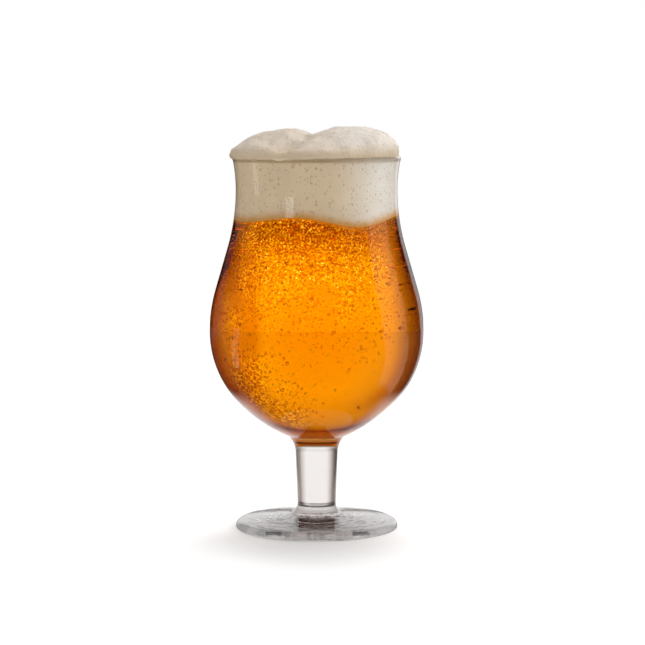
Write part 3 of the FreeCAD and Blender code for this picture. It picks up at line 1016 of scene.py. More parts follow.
@dataclass(frozen=True)
class CreamFoam:
    """Fine foam: cream above the lip, tan behind the glass and amber where it meets the beer, with painted
    light that is brighter behind the glass and on the right.
    """

    # Painted light and shade: lighter on the right, where the key light falls, and brighter behind the
    # glass, where less light reaches.
    top_left_shaded: Colour = (0.67, 0.58, 0.49)
    top_right_lit: Colour = (0.73, 0.66, 0.585)
    # Painted shade in folds, scattered by noise.
    painted_fold_shade: Colour = (0.5, 0.38, 0.24)
    rim: Colour = (0.55, 0.42, 0.27)
    behind_left_amber_lit: Colour = (0.97, 0.8, 0.56)
    behind_right_lit: Colour = (0.97, 0.93, 0.86)
    meeting: Colour = (0.8, 0.4, 0.08)
    bubble: Colour = (0.56, 0.34, 0.08)
    under_glow: Colour = (0.5, 0.42, 0.3)
    lip_part: Span = (0.1505, 0.1535)
    rim_part: Span = (0.159, 0.1535)
    left_to_right_behind: Span = (0.002, 0.03)
    left_to_right_above: Span = (-0.005, 0.02)
    meeting_part: Span = (-0.4, 4.2)
    spot_cells: tuple[Span, ...] = ((560.0, 0.34), (950.0, 0.4))

    def material(self) -> bpy.types.Material:
        """Make the finish.

        Returns:
            Material of the foam.
        """
        made, graph = new_material("cream_foam")
        place = graph.place()
        above_lip = place["Z"].step(*self.lip_part)
        first, second = (self.spots(graph, scale, size) for scale, size in self.spot_cells)
        spots = first + second
        base = self.tone(graph, place, above_lip)
        base = graph.mix(spots.least(1.0) * (0.62 - above_lip * 0.38), base, self.bubble)
        fine = graph.grain(1500.0, 3.0, 0.6)
        relief = fine * 0.5 + graph.cells(1300.0)["Distance"] * 0.6 - spots * 0.8
        lumps = graph.bump(graph.grain(200.0, 4.0, 0.55) * above_lip, 0.6, 0.0024)
        inputs = {
            "Base Color": base,
            "Roughness": 0.3 + fine * 0.25,
            "Specular IOR Level": 0.5,
            "Normal": graph.bump(relief, 0.4, 0.0004, lumps),
            "Emission Color": graph.mix(graph.number("underside"), BLACK, self.under_glow),
            "Emission Strength": 1.0,
        }
        graph.surface(graph.principled(inputs))
        return made

    def tone(self, graph: ShaderGraph, place: Outputs, above_lip: Value) -> Value:
        """Colour the foam, with painted light and shade, but for the bubbles that lie open in it.

        Args:
            graph: Tree of the material.
            place: Object coordinates of the point.
            above_lip: 1 above the lip and 0 behind the glass.

        Returns:
            The colour.
        """
        across = place["X"]
        wavy_rise = graph.number("above_line") + (graph.grain(220.0) - 0.5) * 2.2
        # Painted light behind the glass: warm amber on the left, pale on the right.
        behind = graph.mix(across.step(*self.left_to_right_behind), self.behind_left_amber_lit, self.behind_right_lit)
        behind = graph.mix(graph.grain(90.0, 3.0).step(0.4, 0.75) * 0.12, behind, self.rim)
        lower = graph.mix(wavy_rise.step(*self.meeting_part), self.meeting, behind)
        # Painted light and shade above the lip: lighter on the right.
        upper = graph.mix(across.step(*self.left_to_right_above), self.top_left_shaded, self.top_right_lit)
        # Painted shade in folds of the foam top.
        upper = graph.mix(graph.grain(120.0, 3.0).step(0.45, 0.8) * 0.45, upper, self.painted_fold_shade)
        upper = graph.mix(place["Z"].step(*self.rim_part) * 0.85, upper, self.rim)
        return graph.mix(above_lip, lower, upper)

    @staticmethod
    def spots(graph: ShaderGraph, scale: float, size: float) -> Value:
        """Scatter bubbles that lie open in the foam.

        Args:
            graph: Tree of the material.
            scale: How many cells there are to the metre.
            size: Radius of the largest, as a share of a cell.

        Returns:
            1 on a bubble's edge, less inside it and 0 elsewhere.
        """
        cells = graph.cells(scale)
        random = graph.node("ShaderNodeSeparateColor", {}, {0: cells["Color"]})[0]
        inside = (random.step(0.45, 1.0) * size - cells["Distance"]) * 14.0
        return inside.step(0.0, 0.7) - inside.step(1.0, 2.0) * 0.6


@dataclass(frozen=True)
class BubbleFilm:
    """Gas in the beer: a clear ball with a painted dark rim, and some of those under the foam glow with
    painted glints.
    """

    index: float = 0.75
    gloss: Colour = (0.1, 0.1, 0.1)
    # Painted shade: the ball darkens towards its rim by how edge on it is seen.
    rim: Stops = (
        (0.1, (1.0, 0.9, 0.7)),
        (0.35, (0.85, 0.42, 0.1)),
        (0.6, (0.68, 0.26, 0.03)),
    )
    glint: Colour = (1.0, 0.6, 0.07)
    glint_rise: Span = (0.088, 0.112)

    def material(self) -> bpy.types.Material:
        """Make the finish.

        Returns:
            Material of the bubbles in the beer.
        """
        made, graph = new_material("beer_bubble")
        facing = graph.facing()
        height = graph.place()["Z"].step(*self.glint_rise)
        bright = graph.grain(420.0).step(0.47, 0.56) * height * facing.step(0.62, 0.4)
        inputs = {
            "Base Color": graph.ramp(facing, self.rim),
            "Roughness": 0.0,
            "Emission Color": graph.mix(bright, BLACK, self.glint),
            "Emission Strength": 1.0,
        }
        film = graph.glassy(self.index, self.gloss, inputs)
        graph.surface(light_through(graph, film, WHITE))
        return made


# Pieces


class Piece:
    """Part of the dressed glass that rides on the body of the frame."""

    body = "root"

    def finish(self, made: bpy.types.Object, slot: str, node: Union[str, None] = None) -> bpy.types.Object:
        """Tie a made piece to the frame.

        Args:
            made: The object.
            slot: Material slot of the record; not used.
            node: Solid that the piece stands for, where it stands for one.

        Returns:
            The same object.
        """
        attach(made, self.body)
        if node:
            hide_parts(node)
        LOG.info("%s: %d faces", made.name, len(made.data.polygons))
        return made


@dataclass
class TulipGlass(Piece):
    """Foot, stem, bowl and rounded lip in one turned piece."""

    bowl: BowlCurve = field(default_factory=BowlCurve)
    look: ClearGlass = field(default_factory=ClearGlass)
    hollow: float = 1.6
    rim_width: float = 0.8
    patch_width: float = 7.8
    patch_blur: float = 1.5
    patch_back: float = -8.0
    patch_front: float = -24.0
    patch_fade: float = 2.0
    segments: int = 224

    def outside(self) -> Outline:
        """Draw the outside.

        Returns:
            The points, from the middle of the underside over the foot and up the bowl to the lip.
        """
        outline = self.bowl.stem.outline()
        centre, radius = self.bowl.under()
        seam = outline.points[-1]
        seam_turn = math.degrees(math.atan2(seam[1] - centre[1], seam[0] - centre[0]))
        outline.arc(centre, radius, seam_turn, -self.bowl.lower_belly_turn)
        outline.add(self.bowl.side(0.0).points)
        outline.add(self.lip(outline.points[-1]))
        return outline

    def lip(self, outer: Point) -> list[Point]:
        """Draw the rounded lip.

        Args:
            outer: Last point of the outer side.

        Returns:
            The points, over the top to the inner side.
        """
        inner = self.bowl.side(self.bowl.wall).points[-1]
        centre = ((outer[0] + inner[0]) / 2, self.bowl.lip_height)
        dip = math.degrees(math.asin(self.bowl.lip_sink / self.bowl.lip_round))
        bead = Outline()
        bead.arc(centre, self.bowl.lip_round, -dip, 180 + dip)
        return bead.points

    def build(self) -> bpy.types.Object:
        """Make the glass, and mark its wet wall and the see-through part of its foot.

        Returns:
            The piece.
        """
        section = self.outside()
        dry = len(section.points) - 1
        section.add(list(reversed(self.bowl.inside(self.bowl.wall).points)))
        outline = section.points
        rings = turned(outline[1:-1], self.segments)
        mesh, points = skin("tulip_glass", rings, (0, 0, outline[0][1]), (0, 0, outline[-1][1]))
        wet = (np.arange(len(outline) - 2) >= dry).repeat(self.segments)
        add_numbers(mesh, "wet", np.concatenate([wet, [False, True]]))
        add_numbers(mesh, "underside", self.clear_share(points))
        made = new_piece("tulip_glass", mesh, self.look.material())
        return self.finish(made, Slot.GLASS.value, "glass")

    def clear_share(self, points: np.ndarray) -> np.ndarray:
        """Mark the underside of the foot, but for the patch before the axis that stays brown with the
        painted reflection.

        Args:
            points: Points in millimetres.

        Returns:
            How see-through each point is, from 0 to 1.
        """
        across, back, up = points.T
        inside_rim = np.hypot(across, back) < self.bowl.stem.foot_radius - self.rim_width
        beside = np.clip((np.abs(across) - self.patch_width) / self.patch_blur, 0.0, 1.0)
        behind = np.clip((back - self.patch_back) / self.patch_fade, 0.0, 1.0)
        before = np.clip((self.patch_front - back) / self.patch_fade, 0.0, 1.0)
        return (inside_rim & (up < self.hollow)) * np.maximum(beside, np.maximum(behind, before))


@dataclass(frozen=True)
class BeerLine:
    """Wavy surface where the beer meets the foam, in millimetres."""

    height: float = 127.47
    swing: float = 1.9
    length: float = 52.0
    crest: float = -7.3
    slant: float = 0.35
    slant_from: float = 33.08

    def at(self, across: np.ndarray, back: np.ndarray) -> np.ndarray:
        """Height of the surface at some places."""
        crest = self.crest - self.slant * (back + self.slant_from)
        return self.height + self.swing * np.cos(2 * math.pi * (across - crest) / self.length)

    def middle(self) -> float:
        """Height of the surface on the axis."""
        return float(self.at(np.array(0.0), np.array(0.0)))

    def rise(self, points: np.ndarray) -> np.ndarray:
        """How far some points lie above the surface."""
        return points[:, 2] - self.at(points[:, 0], points[:, 1])


@dataclass(frozen=True)
class Cloud:
    """Crowd of gas on the wall, about a turn in degrees and a height in millimetres."""

    turn: float
    height: float
    half_turn: float
    half_height: float
    amount: float

    def at(self, turn: np.ndarray, height: np.ndarray) -> np.ndarray:
        """Work out how crowded the gas is.

        Args:
            turn: Turns of some points.
            height: Their heights.

        Returns:
            The crowding at each.
        """
        aside = (turn - self.turn + 180) % 360 - 180
        reach = (aside / self.half_turn) ** 2 + ((height - self.height) / self.half_height) ** 2
        return self.amount * np.exp(-reach)


@dataclass
class Beer(Piece):
    """Amber beer, whose side lies a hair inside the wall of the glass so that no gap shows."""

    bowl: BowlCurve = field(default_factory=BowlCurve)
    line: BeerLine = field(default_factory=BeerLine)
    look: AmberBeer = field(default_factory=AmberBeer)
    clouds: tuple[Cloud, ...] = (
        Cloud(-38.0, 62.0, 26.0, 17.0, 0.75),
        Cloud(-24.0, 50.0, 20.0, 7.0, 0.7),
        Cloud(-50.0, 86.0, 16.0, 20.0, 0.5),
    )
    streaks: Cloud = Cloud(-30.0, 51.0, 20.0, 6.5, 1.0)
    gas_depth: float = 40.0
    gas_turn: float = -4.0
    gas_half_turn: float = 58.0
    gas_behind: float = 0.6
    gas_reach: float = 20.0
    patch_size: float = 7.0
    haze_turn: float = 46.0
    haze_half_turn: float = 26.0
    haze_half_height: float = 6.0
    overlap: float = 0.25
    fixed_height: float = 100.0
    upper_rings: int = 24
    top_rings: int = 20
    segments: int = 224

    def side_rings(self, inset: float, sink: float, segments: int) -> np.ndarray:
        """Rings up the side of the beer.

        Args:
            inset: How far the side lies inside the outer side of the glass.
            sink: How far below the surface of the beer the last ring lies.
            segments: How many points a ring has.

        Returns:
            Points as rings by segments by 3.
        """
        fixed = [p for p in self.bowl.inside(inset).points[1:] if p[1] < self.fixed_height]
        turn = azimuths(segments)
        rings = [turned(fixed, segments)]
        radius = self.bowl.radius_at(np.array([self.line.height]), inset)[0]
        surface = self.line.at(radius * np.cos(turn), radius * np.sin(turn)) - sink
        for step in range(self.upper_rings + 1):
            share = step / self.upper_rings
            height = self.fixed_height + (surface - self.fixed_height) * share
            radii = self.bowl.radius_at(height, inset)
            rings.append(np.stack([radii * np.cos(turn), radii * np.sin(turn), height], -1)[None])
        return np.concatenate(rings)

    def crowd(self, points: np.ndarray) -> np.ndarray:
        """Work out how crowded the gas is: densest under the foam, with clouds low on the left.

        Args:
            points: Points in millimetres.

        Returns:
            The crowding at each, from 0 to 1.
        """
        depth = -self.line.rise(points)
        turn = turn_of(points)
        crowd = bell(depth, 0.0, self.gas_depth, 3) * np.clip(depth / 1.5, 0.3, 1.0)
        front = bell(turn, self.gas_turn, self.gas_half_turn, 4)
        crowd *= np.where(np.abs(turn) < 90, front, self.gas_behind)
        for cloud in self.clouds:
            crowd = np.maximum(crowd, cloud.at(turn, points[:, 2]))
        return np.clip(crowd * (0.85 + 0.7 * patches(points, self.patch_size)), 0.0, 1.0)

    def build(self) -> bpy.types.Object:
        """Make the beer.

        Returns:
            The piece.
        """
        inset = self.bowl.wall - self.overlap
        side = self.side_rings(inset, 0.0, self.segments)
        rings = [side]
        for step in range(1, self.top_rings):
            ring = side[-1] * (1 - (step / self.top_rings) ** 1.2)
            ring[:, 2] = self.line.at(ring[:, 0], ring[:, 1])
            rings.append(ring[None])
        first = (0, 0, self.bowl.inside(inset).points[0][1])
        mesh, points = skin("beer_fill", np.concatenate(rings), first, (0, 0, self.line.middle()))
        above = self.line.rise(points)
        turn = turn_of(points)
        outer = np.hypot(points[:, 0], points[:, 1]) > self.gas_reach
        haze = bell(turn, self.haze_turn, self.haze_half_turn) * bell(above, 0.0, self.haze_half_height)
        add_numbers(mesh, "above_line", above)
        add_numbers(mesh, "crowd", np.where(outer, self.crowd(points), 0.0))
        add_numbers(mesh, "haze", haze * outer)
        add_numbers(mesh, "streaks", self.streaks.at(turn, points[:, 2]))
        return self.finish(new_piece("beer_fill", mesh, self.look.material()), Slot.BEER.value, "beer")


@dataclass(frozen=True)
class Mound:
    """Flat-topped mound on the foam, in millimetres."""

    height: float
    place: float
    width: float
    depth: float = 22.0
    front: float = -2.0

    def at(self, across: np.ndarray, back: np.ndarray) -> np.ndarray:
        """Height that the mound adds at some places."""
        reach = ((across - self.place) / self.width) ** 4 + ((back - self.front) / self.depth) ** 4
        return self.height * np.exp(-reach)


@dataclass(frozen=True)
class Dent:
    """Round dip or rise of the foam, in millimetres."""

    across: float
    back: float
    spread: float
    depth: float

    def at(self, across: np.ndarray, back: np.ndarray) -> np.ndarray:
        """Height that the dent takes away at some places."""
        reach = (across - self.across) ** 2 + (back - self.back) ** 2
        return self.depth * np.exp(-reach / self.spread ** 2)


@dataclass
class FoamHead(Piece):
    """Foam from the beer up the inside of the glass and over the lip, with two mounds."""

    bowl: BowlCurve = field(default_factory=BowlCurve)
    line: BeerLine = field(default_factory=BeerLine)
    look: CreamFoam = field(default_factory=CreamFoam)
    overlap: float = 0.15
    sink: float = 0.3
    radius: float = 34.6
    shift: float = -1.0
    lower_round: float = 1.2
    edge_round: float = 2.3
    flank: float = 4.0
    shoulder_round: float = 2.9
    roof_slope: float = 38.5
    edge_height: float = 3.5
    dome_rise: float = 4.2
    mounds: tuple[Mound, ...] = (Mound(5.0, -15.6, 16.0), Mound(6.4, 17.9, 16.4))
    valley_depth: float = 1.5
    valley_width: float = 4.5
    valley_place: float = -1.5
    valley_slant: float = 0.42
    dents: tuple[Dent, ...] = (
        Dent(-19.0, -19.0, 4.5, 1.8),
        Dent(-27.0, -10.0, 4.0, 1.2),
        Dent(-4.0, -17.0, 3.4, 1.9),
        Dent(-9.0, -24.0, 3.6, 2.0),
        Dent(-14.0, -25.5, 3.0, 1.0),
        Dent(-12.0, -14.0, 3.5, -0.6),
        Dent(8.0, -25.0, 4.0, 0.8),
        Dent(18.0, -26.0, 4.5, 0.5),
        Dent(22.0, -23.0, 3.4, -1.0),
        Dent(28.0, -17.0, 3.4, -1.1),
        Dent(29.0, -9.0, 3.6, 0.8),
        Dent(12.0, -12.0, 4.5, 0.7),
    )
    highest: float = 165.35
    corner_softness: float = 0.8
    below_lip: float = 0.9
    bottom_shares: tuple[float, ...] = (0.12, 0.3, 0.5, 0.7, 0.85, 0.96)
    underside_share: float = 0.97
    lump_rise: float = 2.0
    coarse_lumps: Span = (5.0, 0.36)
    fine_lumps: Span = (1.1, 0.1)
    segments: int = 512
    side_rings: int = 26
    top_rings: int = 62

    def top(self, across: np.ndarray, back: np.ndarray) -> np.ndarray:
        """Work out the foam's top, without its small lumps.

        Args:
            across: Places to the right of the axis.
            back: Places behind the axis.

        Returns:
            The height at each.
        """
        reach = (across ** 2 + back ** 2) / self.radius ** 2
        height = self.bowl.lip_height + self.edge_height + self.dome_rise * (1 - reach)
        for mound in self.mounds:
            height = height + mound.at(across, back)
        middle = self.valley_place + self.valley_slant * back
        height = height - self.valley_depth * bell(across, middle, self.valley_width)
        for dent in self.dents:
            height = height - dent.at(across, back)
        out = np.hypot(across - self.shift, back)
        return soft_least(height, self.roof(out), self.corner_softness)

    def roof(self, out: np.ndarray) -> np.ndarray:
        """Work out the height that the foam's shoulder allows.

        Args:
            out: Distances from the foam's middle.

        Returns:
            The height at each.
        """
        slope = math.radians(self.roof_slope)
        base = self.bowl.lip_height + self.lower_round + self.flank
        corner = self.radius - self.shoulder_round
        start = corner + self.shoulder_round * math.sin(slope)
        start_height = base + self.shoulder_round * math.cos(slope)
        sloping = start_height + (start - out) * math.tan(slope)
        across = np.clip(out - corner, 0, self.shoulder_round)
        rounded = base + np.sqrt(self.shoulder_round ** 2 - across ** 2)
        return np.where(out < start, sloping, rounded)

    def build(self) -> bpy.types.Object:
        """Make the foam.

        Returns:
            The piece.
        """
        direction = directions(self.segments)
        inset = self.bowl.wall - self.overlap
        inner = self.bowl.radius_at(np.array([self.line.height]), inset)[0]
        bottom = self.line.at(*(inner * direction).T) - self.sink
        rings = []
        for share in self.bottom_shares:
            flat = inner * share * direction
            rings.append(np.column_stack([flat, self.line.at(*flat.T) - self.sink]))
        for step in range(self.side_rings + 1):
            height = bottom + (self.bowl.lip_height - self.below_lip - bottom) * step / self.side_rings
            radii = self.bowl.radius_at(height, inset)
            rings.append(np.column_stack([radii[:, None] * direction, height]))
        rings = self.roughened(np.stack(rings + self.crown_rings(direction)))
        top = float(self.top(np.array(self.shift), np.array(0.0)))
        first = (0, 0, self.line.middle() - self.sink)
        mesh, points = skin("foam_crown", rings, first, (self.shift, 0, top))
        above = self.line.rise(points)
        add_numbers(mesh, "above_line", above)
        inward = np.hypot(points[:, 0], points[:, 1]) < inner * self.underside_share
        add_numbers(mesh, "underside", inward & (above < 0.0))
        made = new_piece("foam_crown", mesh, self.look.material())
        return self.finish(made, Slot.FOAM.value, "foam_head")

    def crown_rings(self, direction: np.ndarray) -> list[np.ndarray]:
        """Draw the foam outside the glass.

        Args:
            direction: Direction of each segment.

        Returns:
            Rings over the lip, up the flank and over the top, to near the middle.
        """
        rings = []
        for turn in np.radians((-90, -60, -30, 0)):
            flat = self.shifted((self.radius - self.lower_round * (1 - math.cos(turn))) * direction)
            height = self.bowl.lip_height + self.lower_round * (1 + math.sin(turn))
            rings.append(np.column_stack([flat, np.full(len(flat), height)]))
        edge = self.shifted(self.radius * direction)
        edge_top = self.top(*edge.T) - self.edge_round
        low = self.bowl.lip_height + self.lower_round
        for share in (0.33, 0.66):
            rings.append(np.column_stack([edge, low + (edge_top - low) * share]))
        for turn in np.radians(range(0, 90, 10)):
            inward = self.edge_round * (1 - math.cos(turn))
            flat = self.shifted((self.radius - inward) * direction)
            drop = self.edge_round * (1 - math.sin(turn))
            rings.append(np.column_stack([flat, self.top(*flat.T) - drop]))
        inner_radius = self.radius - self.edge_round
        for step in range(self.top_rings):
            flat = self.shifted(inner_radius * (1 - step / self.top_rings) * direction)
            rings.append(np.column_stack([flat, self.top(*flat.T)]))
        return rings

    def shifted(self, flat: np.ndarray) -> np.ndarray:
        """Points about the foam's own middle, which leans over the lip."""
        return flat + np.array([self.shift, 0.0])

    def roughened(self, rings: np.ndarray) -> np.ndarray:
        """Give the foam above the lip its small lumps.

        Args:
            rings: Points as rings by segments by 3.

        Returns:
            The points, moved up or down a little, and none above the highest.
        """
        moved = rings.copy()
        base = self.bowl.lip_height + self.lower_round
        for point in moved.reshape(-1, 3):
            if point[2] <= base:
                continue
            share = min(1.0, (point[2] - base) / self.lump_rise)
            coarse = noise.fractal(Vector(point) / self.coarse_lumps[0], 1.0, 2.0, 3)
            fine = noise.fractal(Vector(point) / self.fine_lumps[0], 1.0, 2.0, 2)
            point[2] += share * (self.coarse_lumps[1] * coarse + self.fine_lumps[1] * fine)
        moved[..., 2] = np.minimum(moved[..., 2], self.highest)
        return moved


def soft_least(one: np.ndarray, other: np.ndarray, softness: float) -> np.ndarray:
    """Lesser of two heights, with the corner between them rounded."""
    blend = np.clip(0.5 + 0.5 * (other - one) / softness, 0, 1)
    return other * (1 - blend) + one * blend - softness * blend * (1 - blend)


# Bubbles


@dataclass(frozen=True)
class Spread:
    """How bubbles are scattered. Their radii and their depths under a surface are in millimetres."""

    per_square_metre: float
    smallest: float
    largest: float
    nearest: float
    deepest: float
    seed: int


class ScatterTree:
    """Geometry Nodes that scatter balls over a surface."""

    sizes = (
        ("Crowding", "NodeSocketFloat"),
        ("Smallest", "NodeSocketFloat"),
        ("Largest", "NodeSocketFloat"),
        ("Nearest", "NodeSocketFloat"),
        ("Deepest", "NodeSocketFloat"),
        ("Seed", "NodeSocketInt"),
        ("Finish", "NodeSocketMaterial"),
    )

    def __init__(self) -> None:
        """Build the tree."""
        self.tree = bpy.data.node_groups.new("scattered_bubbles", "GeometryNodeTree")
        face = self.tree.interface
        face.new_socket(name="Geometry", in_out="INPUT", socket_type="NodeSocketGeometry")
        self.keys = {
            name: face.new_socket(name=name, in_out="INPUT", socket_type=kind).identifier
            for name, kind in self.sizes
        }
        face.new_socket(name="Geometry", in_out="OUTPUT", socket_type="NodeSocketGeometry")
        graph = Graph(self.tree)
        given = graph.node("NodeGroupInput", {}, {})
        weight = graph.node("GeometryNodeInputNamedAttribute", {"data_type": "FLOAT"}, {"Name": "weight"})
        density = weight["Attribute"] * given["Crowding"]
        inputs = {"Mesh": given["Geometry"], "Density": density, "Seed": given["Seed"]}
        spread = graph.node("GeometryNodeDistributePointsOnFaces", {}, inputs)
        depth = self.random(graph, given["Nearest"], given["Deepest"], given["Seed"] + 3)
        inputs = {"Vector": spread["Normal"], "Scale": depth * -1.0}
        inward = graph.node("ShaderNodeVectorMath", {"operation": "SCALE"}, inputs)["Vector"]
        sunk = graph.node("GeometryNodeSetPosition", {}, {"Geometry": spread["Points"], "Offset": inward})
        chance = self.random(graph, 0.0, 1.0, given["Seed"] + 7)
        radius = given["Smallest"] + (given["Largest"] - given["Smallest"]) * chance * chance
        ball = graph.node("GeometryNodeMeshIcoSphere", {}, {"Radius": 1.0, "Subdivisions": 1})
        inputs = {"Points": sunk["Geometry"], "Instance": ball["Mesh"], "Scale": radius}
        placed = graph.node("GeometryNodeInstanceOnPoints", {}, inputs)
        real = graph.node("GeometryNodeRealizeInstances", {}, {"Geometry": placed["Instances"]})
        smooth = graph.node("GeometryNodeSetShadeSmooth", {}, {"Geometry": real["Geometry"]})
        inputs = {"Geometry": smooth["Geometry"], "Material": given["Finish"]}
        dressed = graph.node("GeometryNodeSetMaterial", {}, inputs)
        graph.node("NodeGroupOutput", {}, {"Geometry": dressed["Geometry"]})

    @staticmethod
    def random(graph: Graph, low: Term, high: Term, seed: Term) -> Value:
        """Random number for each point."""
        inputs = {"Min_001": low, "Max_001": high, "Seed": seed}
        return graph.node("FunctionNodeRandomValue", {"data_type": "FLOAT"}, inputs)["Value_001"]

    def scatter(
        self, name: str, surface: bpy.types.Mesh, spread: Spread, finish: bpy.types.Material
    ) -> bpy.types.Object:
        """Scatter balls over a surface.

        Args:
            name: Name of the piece.
            surface: Mesh whose points have a weight.
            spread: How the balls are scattered.
            finish: Their finish.

        Returns:
            The balls as one plain mesh.
        """
        sizes = {
            "Crowding": spread.per_square_metre,
            "Smallest": spread.smallest * MM,
            "Largest": spread.largest * MM,
            "Nearest": spread.nearest * MM,
            "Deepest": spread.deepest * MM,
            "Seed": spread.seed,
            "Finish": finish,
        }
        carrier = bpy.data.objects.new(name + "_carrier", surface)
        bpy.context.scene.collection.objects.link(carrier)
        modifier = carrier.modifiers.new("scatter", "NODES")
        modifier.node_group = self.tree
        for key, value in sizes.items():
            modifier[self.keys[key]] = value
        graph = bpy.context.evaluated_depsgraph_get()
        mesh = bpy.data.meshes.new_from_object(carrier.evaluated_get(graph))
        mesh.name = name
        carrier.modifiers.clear()
        bpy.data.objects.remove(carrier)
        return new_piece(name, mesh, finish)


@dataclass
class BeerBubbles(Piece):
    """Bubbles that cling inside the beer, most of them just under the foam."""

    beer: Beer
    tree: ScatterTree
    look: BubbleFilm = field(default_factory=BubbleFilm)
    spread: Spread = Spread(780000.0, 0.16, 0.55, 0.0, 3.0, 11)
    clearance: float = 0.75
    sink: float = 0.8
    lowest: float = 44.0
    least_weight: float = 0.0025
    segments: int = 160

    def build(self) -> bpy.types.Object:
        """Make the bubbles.

        Returns:
            The piece.
        """
        rings = self.beer.side_rings(self.beer.bowl.wall + self.clearance, self.sink, self.segments)
        rings = rings[rings[:, 0, 2] > self.lowest]
        weight = np.maximum(self.beer.crowd(rings.reshape(-1, 3)), self.least_weight)
        wall = weighted_wall("bubble_wall", rings, weight)
        made = self.tree.scatter("beer_bubbles", wall, self.spread, self.look.material())
        return self.finish(made, Slot.BEER.value)


@dataclass
class LineBubbles(Piece):
    """Froth on the wall where the foam meets the beer, deeper at the right of the front."""

    beer: Beer
    tree: ScatterTree
    finish_from: bpy.types.Object
    spread: Spread = Spread(3600000.0, 0.12, 0.42, -0.3, 0.1, 47)
    clearance: float = 0.15
    segments: int = 256
    rings: int = 12
    highest: float = 2.2
    lowest: float = -7.5
    back_turn: float = -150.0
    back_half_turn: float = 40.0
    back_share: float = 0.5
    fade_above: float = 1.2
    shown_rise: float = 1.4
    shown_slope: float = 0.25

    def build(self) -> bpy.types.Object:
        """Make the froth.

        Returns:
            The piece.
        """
        bowl, line = self.beer.bowl, self.beer.line
        direction = directions(self.segments)
        inset = bowl.wall + self.clearance
        radius = bowl.radius_at(np.array([line.height]), inset)[0]
        middle = line.at(*(radius * direction).T)
        rings = []
        for step in range(self.rings + 1):
            height = middle + self.lowest + (self.highest - self.lowest) * step / self.rings
            radii = bowl.radius_at(height, inset)
            rings.append(np.column_stack([radii[:, None] * direction, height]))
        rings = np.stack(rings)
        wall = weighted_wall("froth_wall", rings, self.weight(rings.reshape(-1, 3)))
        finish = self.finish_from.data.materials[0]
        made = self.tree.scatter("line_froth", wall, self.spread, finish)
        rise = line.rise(points_of(made.data))
        shown = np.where(rise > 0, rise, self.shown_rise + self.shown_slope * rise)
        add_numbers(made.data, "above_line", shown)
        return self.finish(made, Slot.FOAM.value)

    def weight(self, points: np.ndarray) -> np.ndarray:
        """Work out how crowded the froth is.

        Args:
            points: Points in millimetres.

        Returns:
            The crowding at each, from 0 to 1.
        """
        beer, turn = self.beer, turn_of(points)
        rise = beer.line.rise(points)
        back = bell(turn, self.back_turn, self.back_half_turn)
        haze = bell(turn, beer.haze_turn, beer.haze_half_turn) + self.back_share * back
        below = bell(np.minimum(rise, 0.0), 0.0, 0.9 + 3.6 * haze)
        above = bell(np.maximum(rise, 0.0), 0.0, self.fade_above)
        return np.clip(below * above * (0.35 + 0.45 * haze), 0.0, 1.0)


@dataclass
class FoamBubbles(Piece):
    """Small bubbles that stand half out of the foam above the lip."""

    head: bpy.types.Object
    tree: ScatterTree
    lip_height: float
    spread: Spread = Spread(900000.0, 0.1, 0.42, 0.0, 0.12, 29)
    highest: float = 165.2
    lowest_rise: float = 1.6
    patch_size: float = 4.0

    def build(self) -> bpy.types.Object:
        """Make the bubbles.

        Returns:
            The piece.
        """
        mesh = self.head.data.copy()
        points = points_of(mesh)
        weight = np.clip(0.3 + 1.3 * patches(points, self.patch_size), 0.0, 1.0)
        up = points[:, 2]
        weight[(up < self.lip_height + self.lowest_rise) | (up > self.highest)] = 0.0
        add_numbers(mesh, "weight", weight)
        made = self.tree.scatter("foam_bubbles", mesh, self.spread, self.head.data.materials[0])
        return self.finish(made, Slot.FOAM.value)


# Studio


@dataclass(frozen=True)
class SoftLight:
    """Wide soft light from far away."""

    name: str
    turn: float
    rise: float
    strength: float
    spread: float

    def build(self) -> None:
        """Hang the light: turn is from the viewer towards the right, rise is above the floor."""
        data = bpy.data.lights.new(self.name, "SUN")
        data.energy = self.strength * math.pi
        data.angle = math.radians(self.spread)
        lamp = bpy.data.objects.new(self.name, data)
        lamp.rotation_euler = Euler((math.radians(90 - self.rise), 0.0, math.radians(self.turn)))
        lamp.visible_glossy = False
        lamp.visible_transmission = False
        bpy.context.scene.collection.objects.link(lamp)


@dataclass(frozen=True)
class Window:
    """Bright patch of the studio that only reflections show.

    Its turn is from the viewer towards the right and its half width goes with it, both in degrees.
    Its foot and its head are the sines of their elevations.
    """

    turn: float
    half_width: float
    foot: float
    head: float
    strength: float
    blur: float = 4.0

    def level(self, turn: Value, up: Value) -> Value:
        """Work out how bright the patch is in a direction.

        Args:
            turn: Turn of the direction from the viewer towards the right, in degrees.
            up: Sine of its elevation.

        Returns:
            The brightness.
        """
        aside = abs(turn - self.turn).step(self.half_width + self.blur, self.half_width)
        edge = self.blur / 60.0
        tall = up.step(self.foot - edge, self.foot)
        return aside * tall * up.step(self.head + edge, self.head) * self.strength


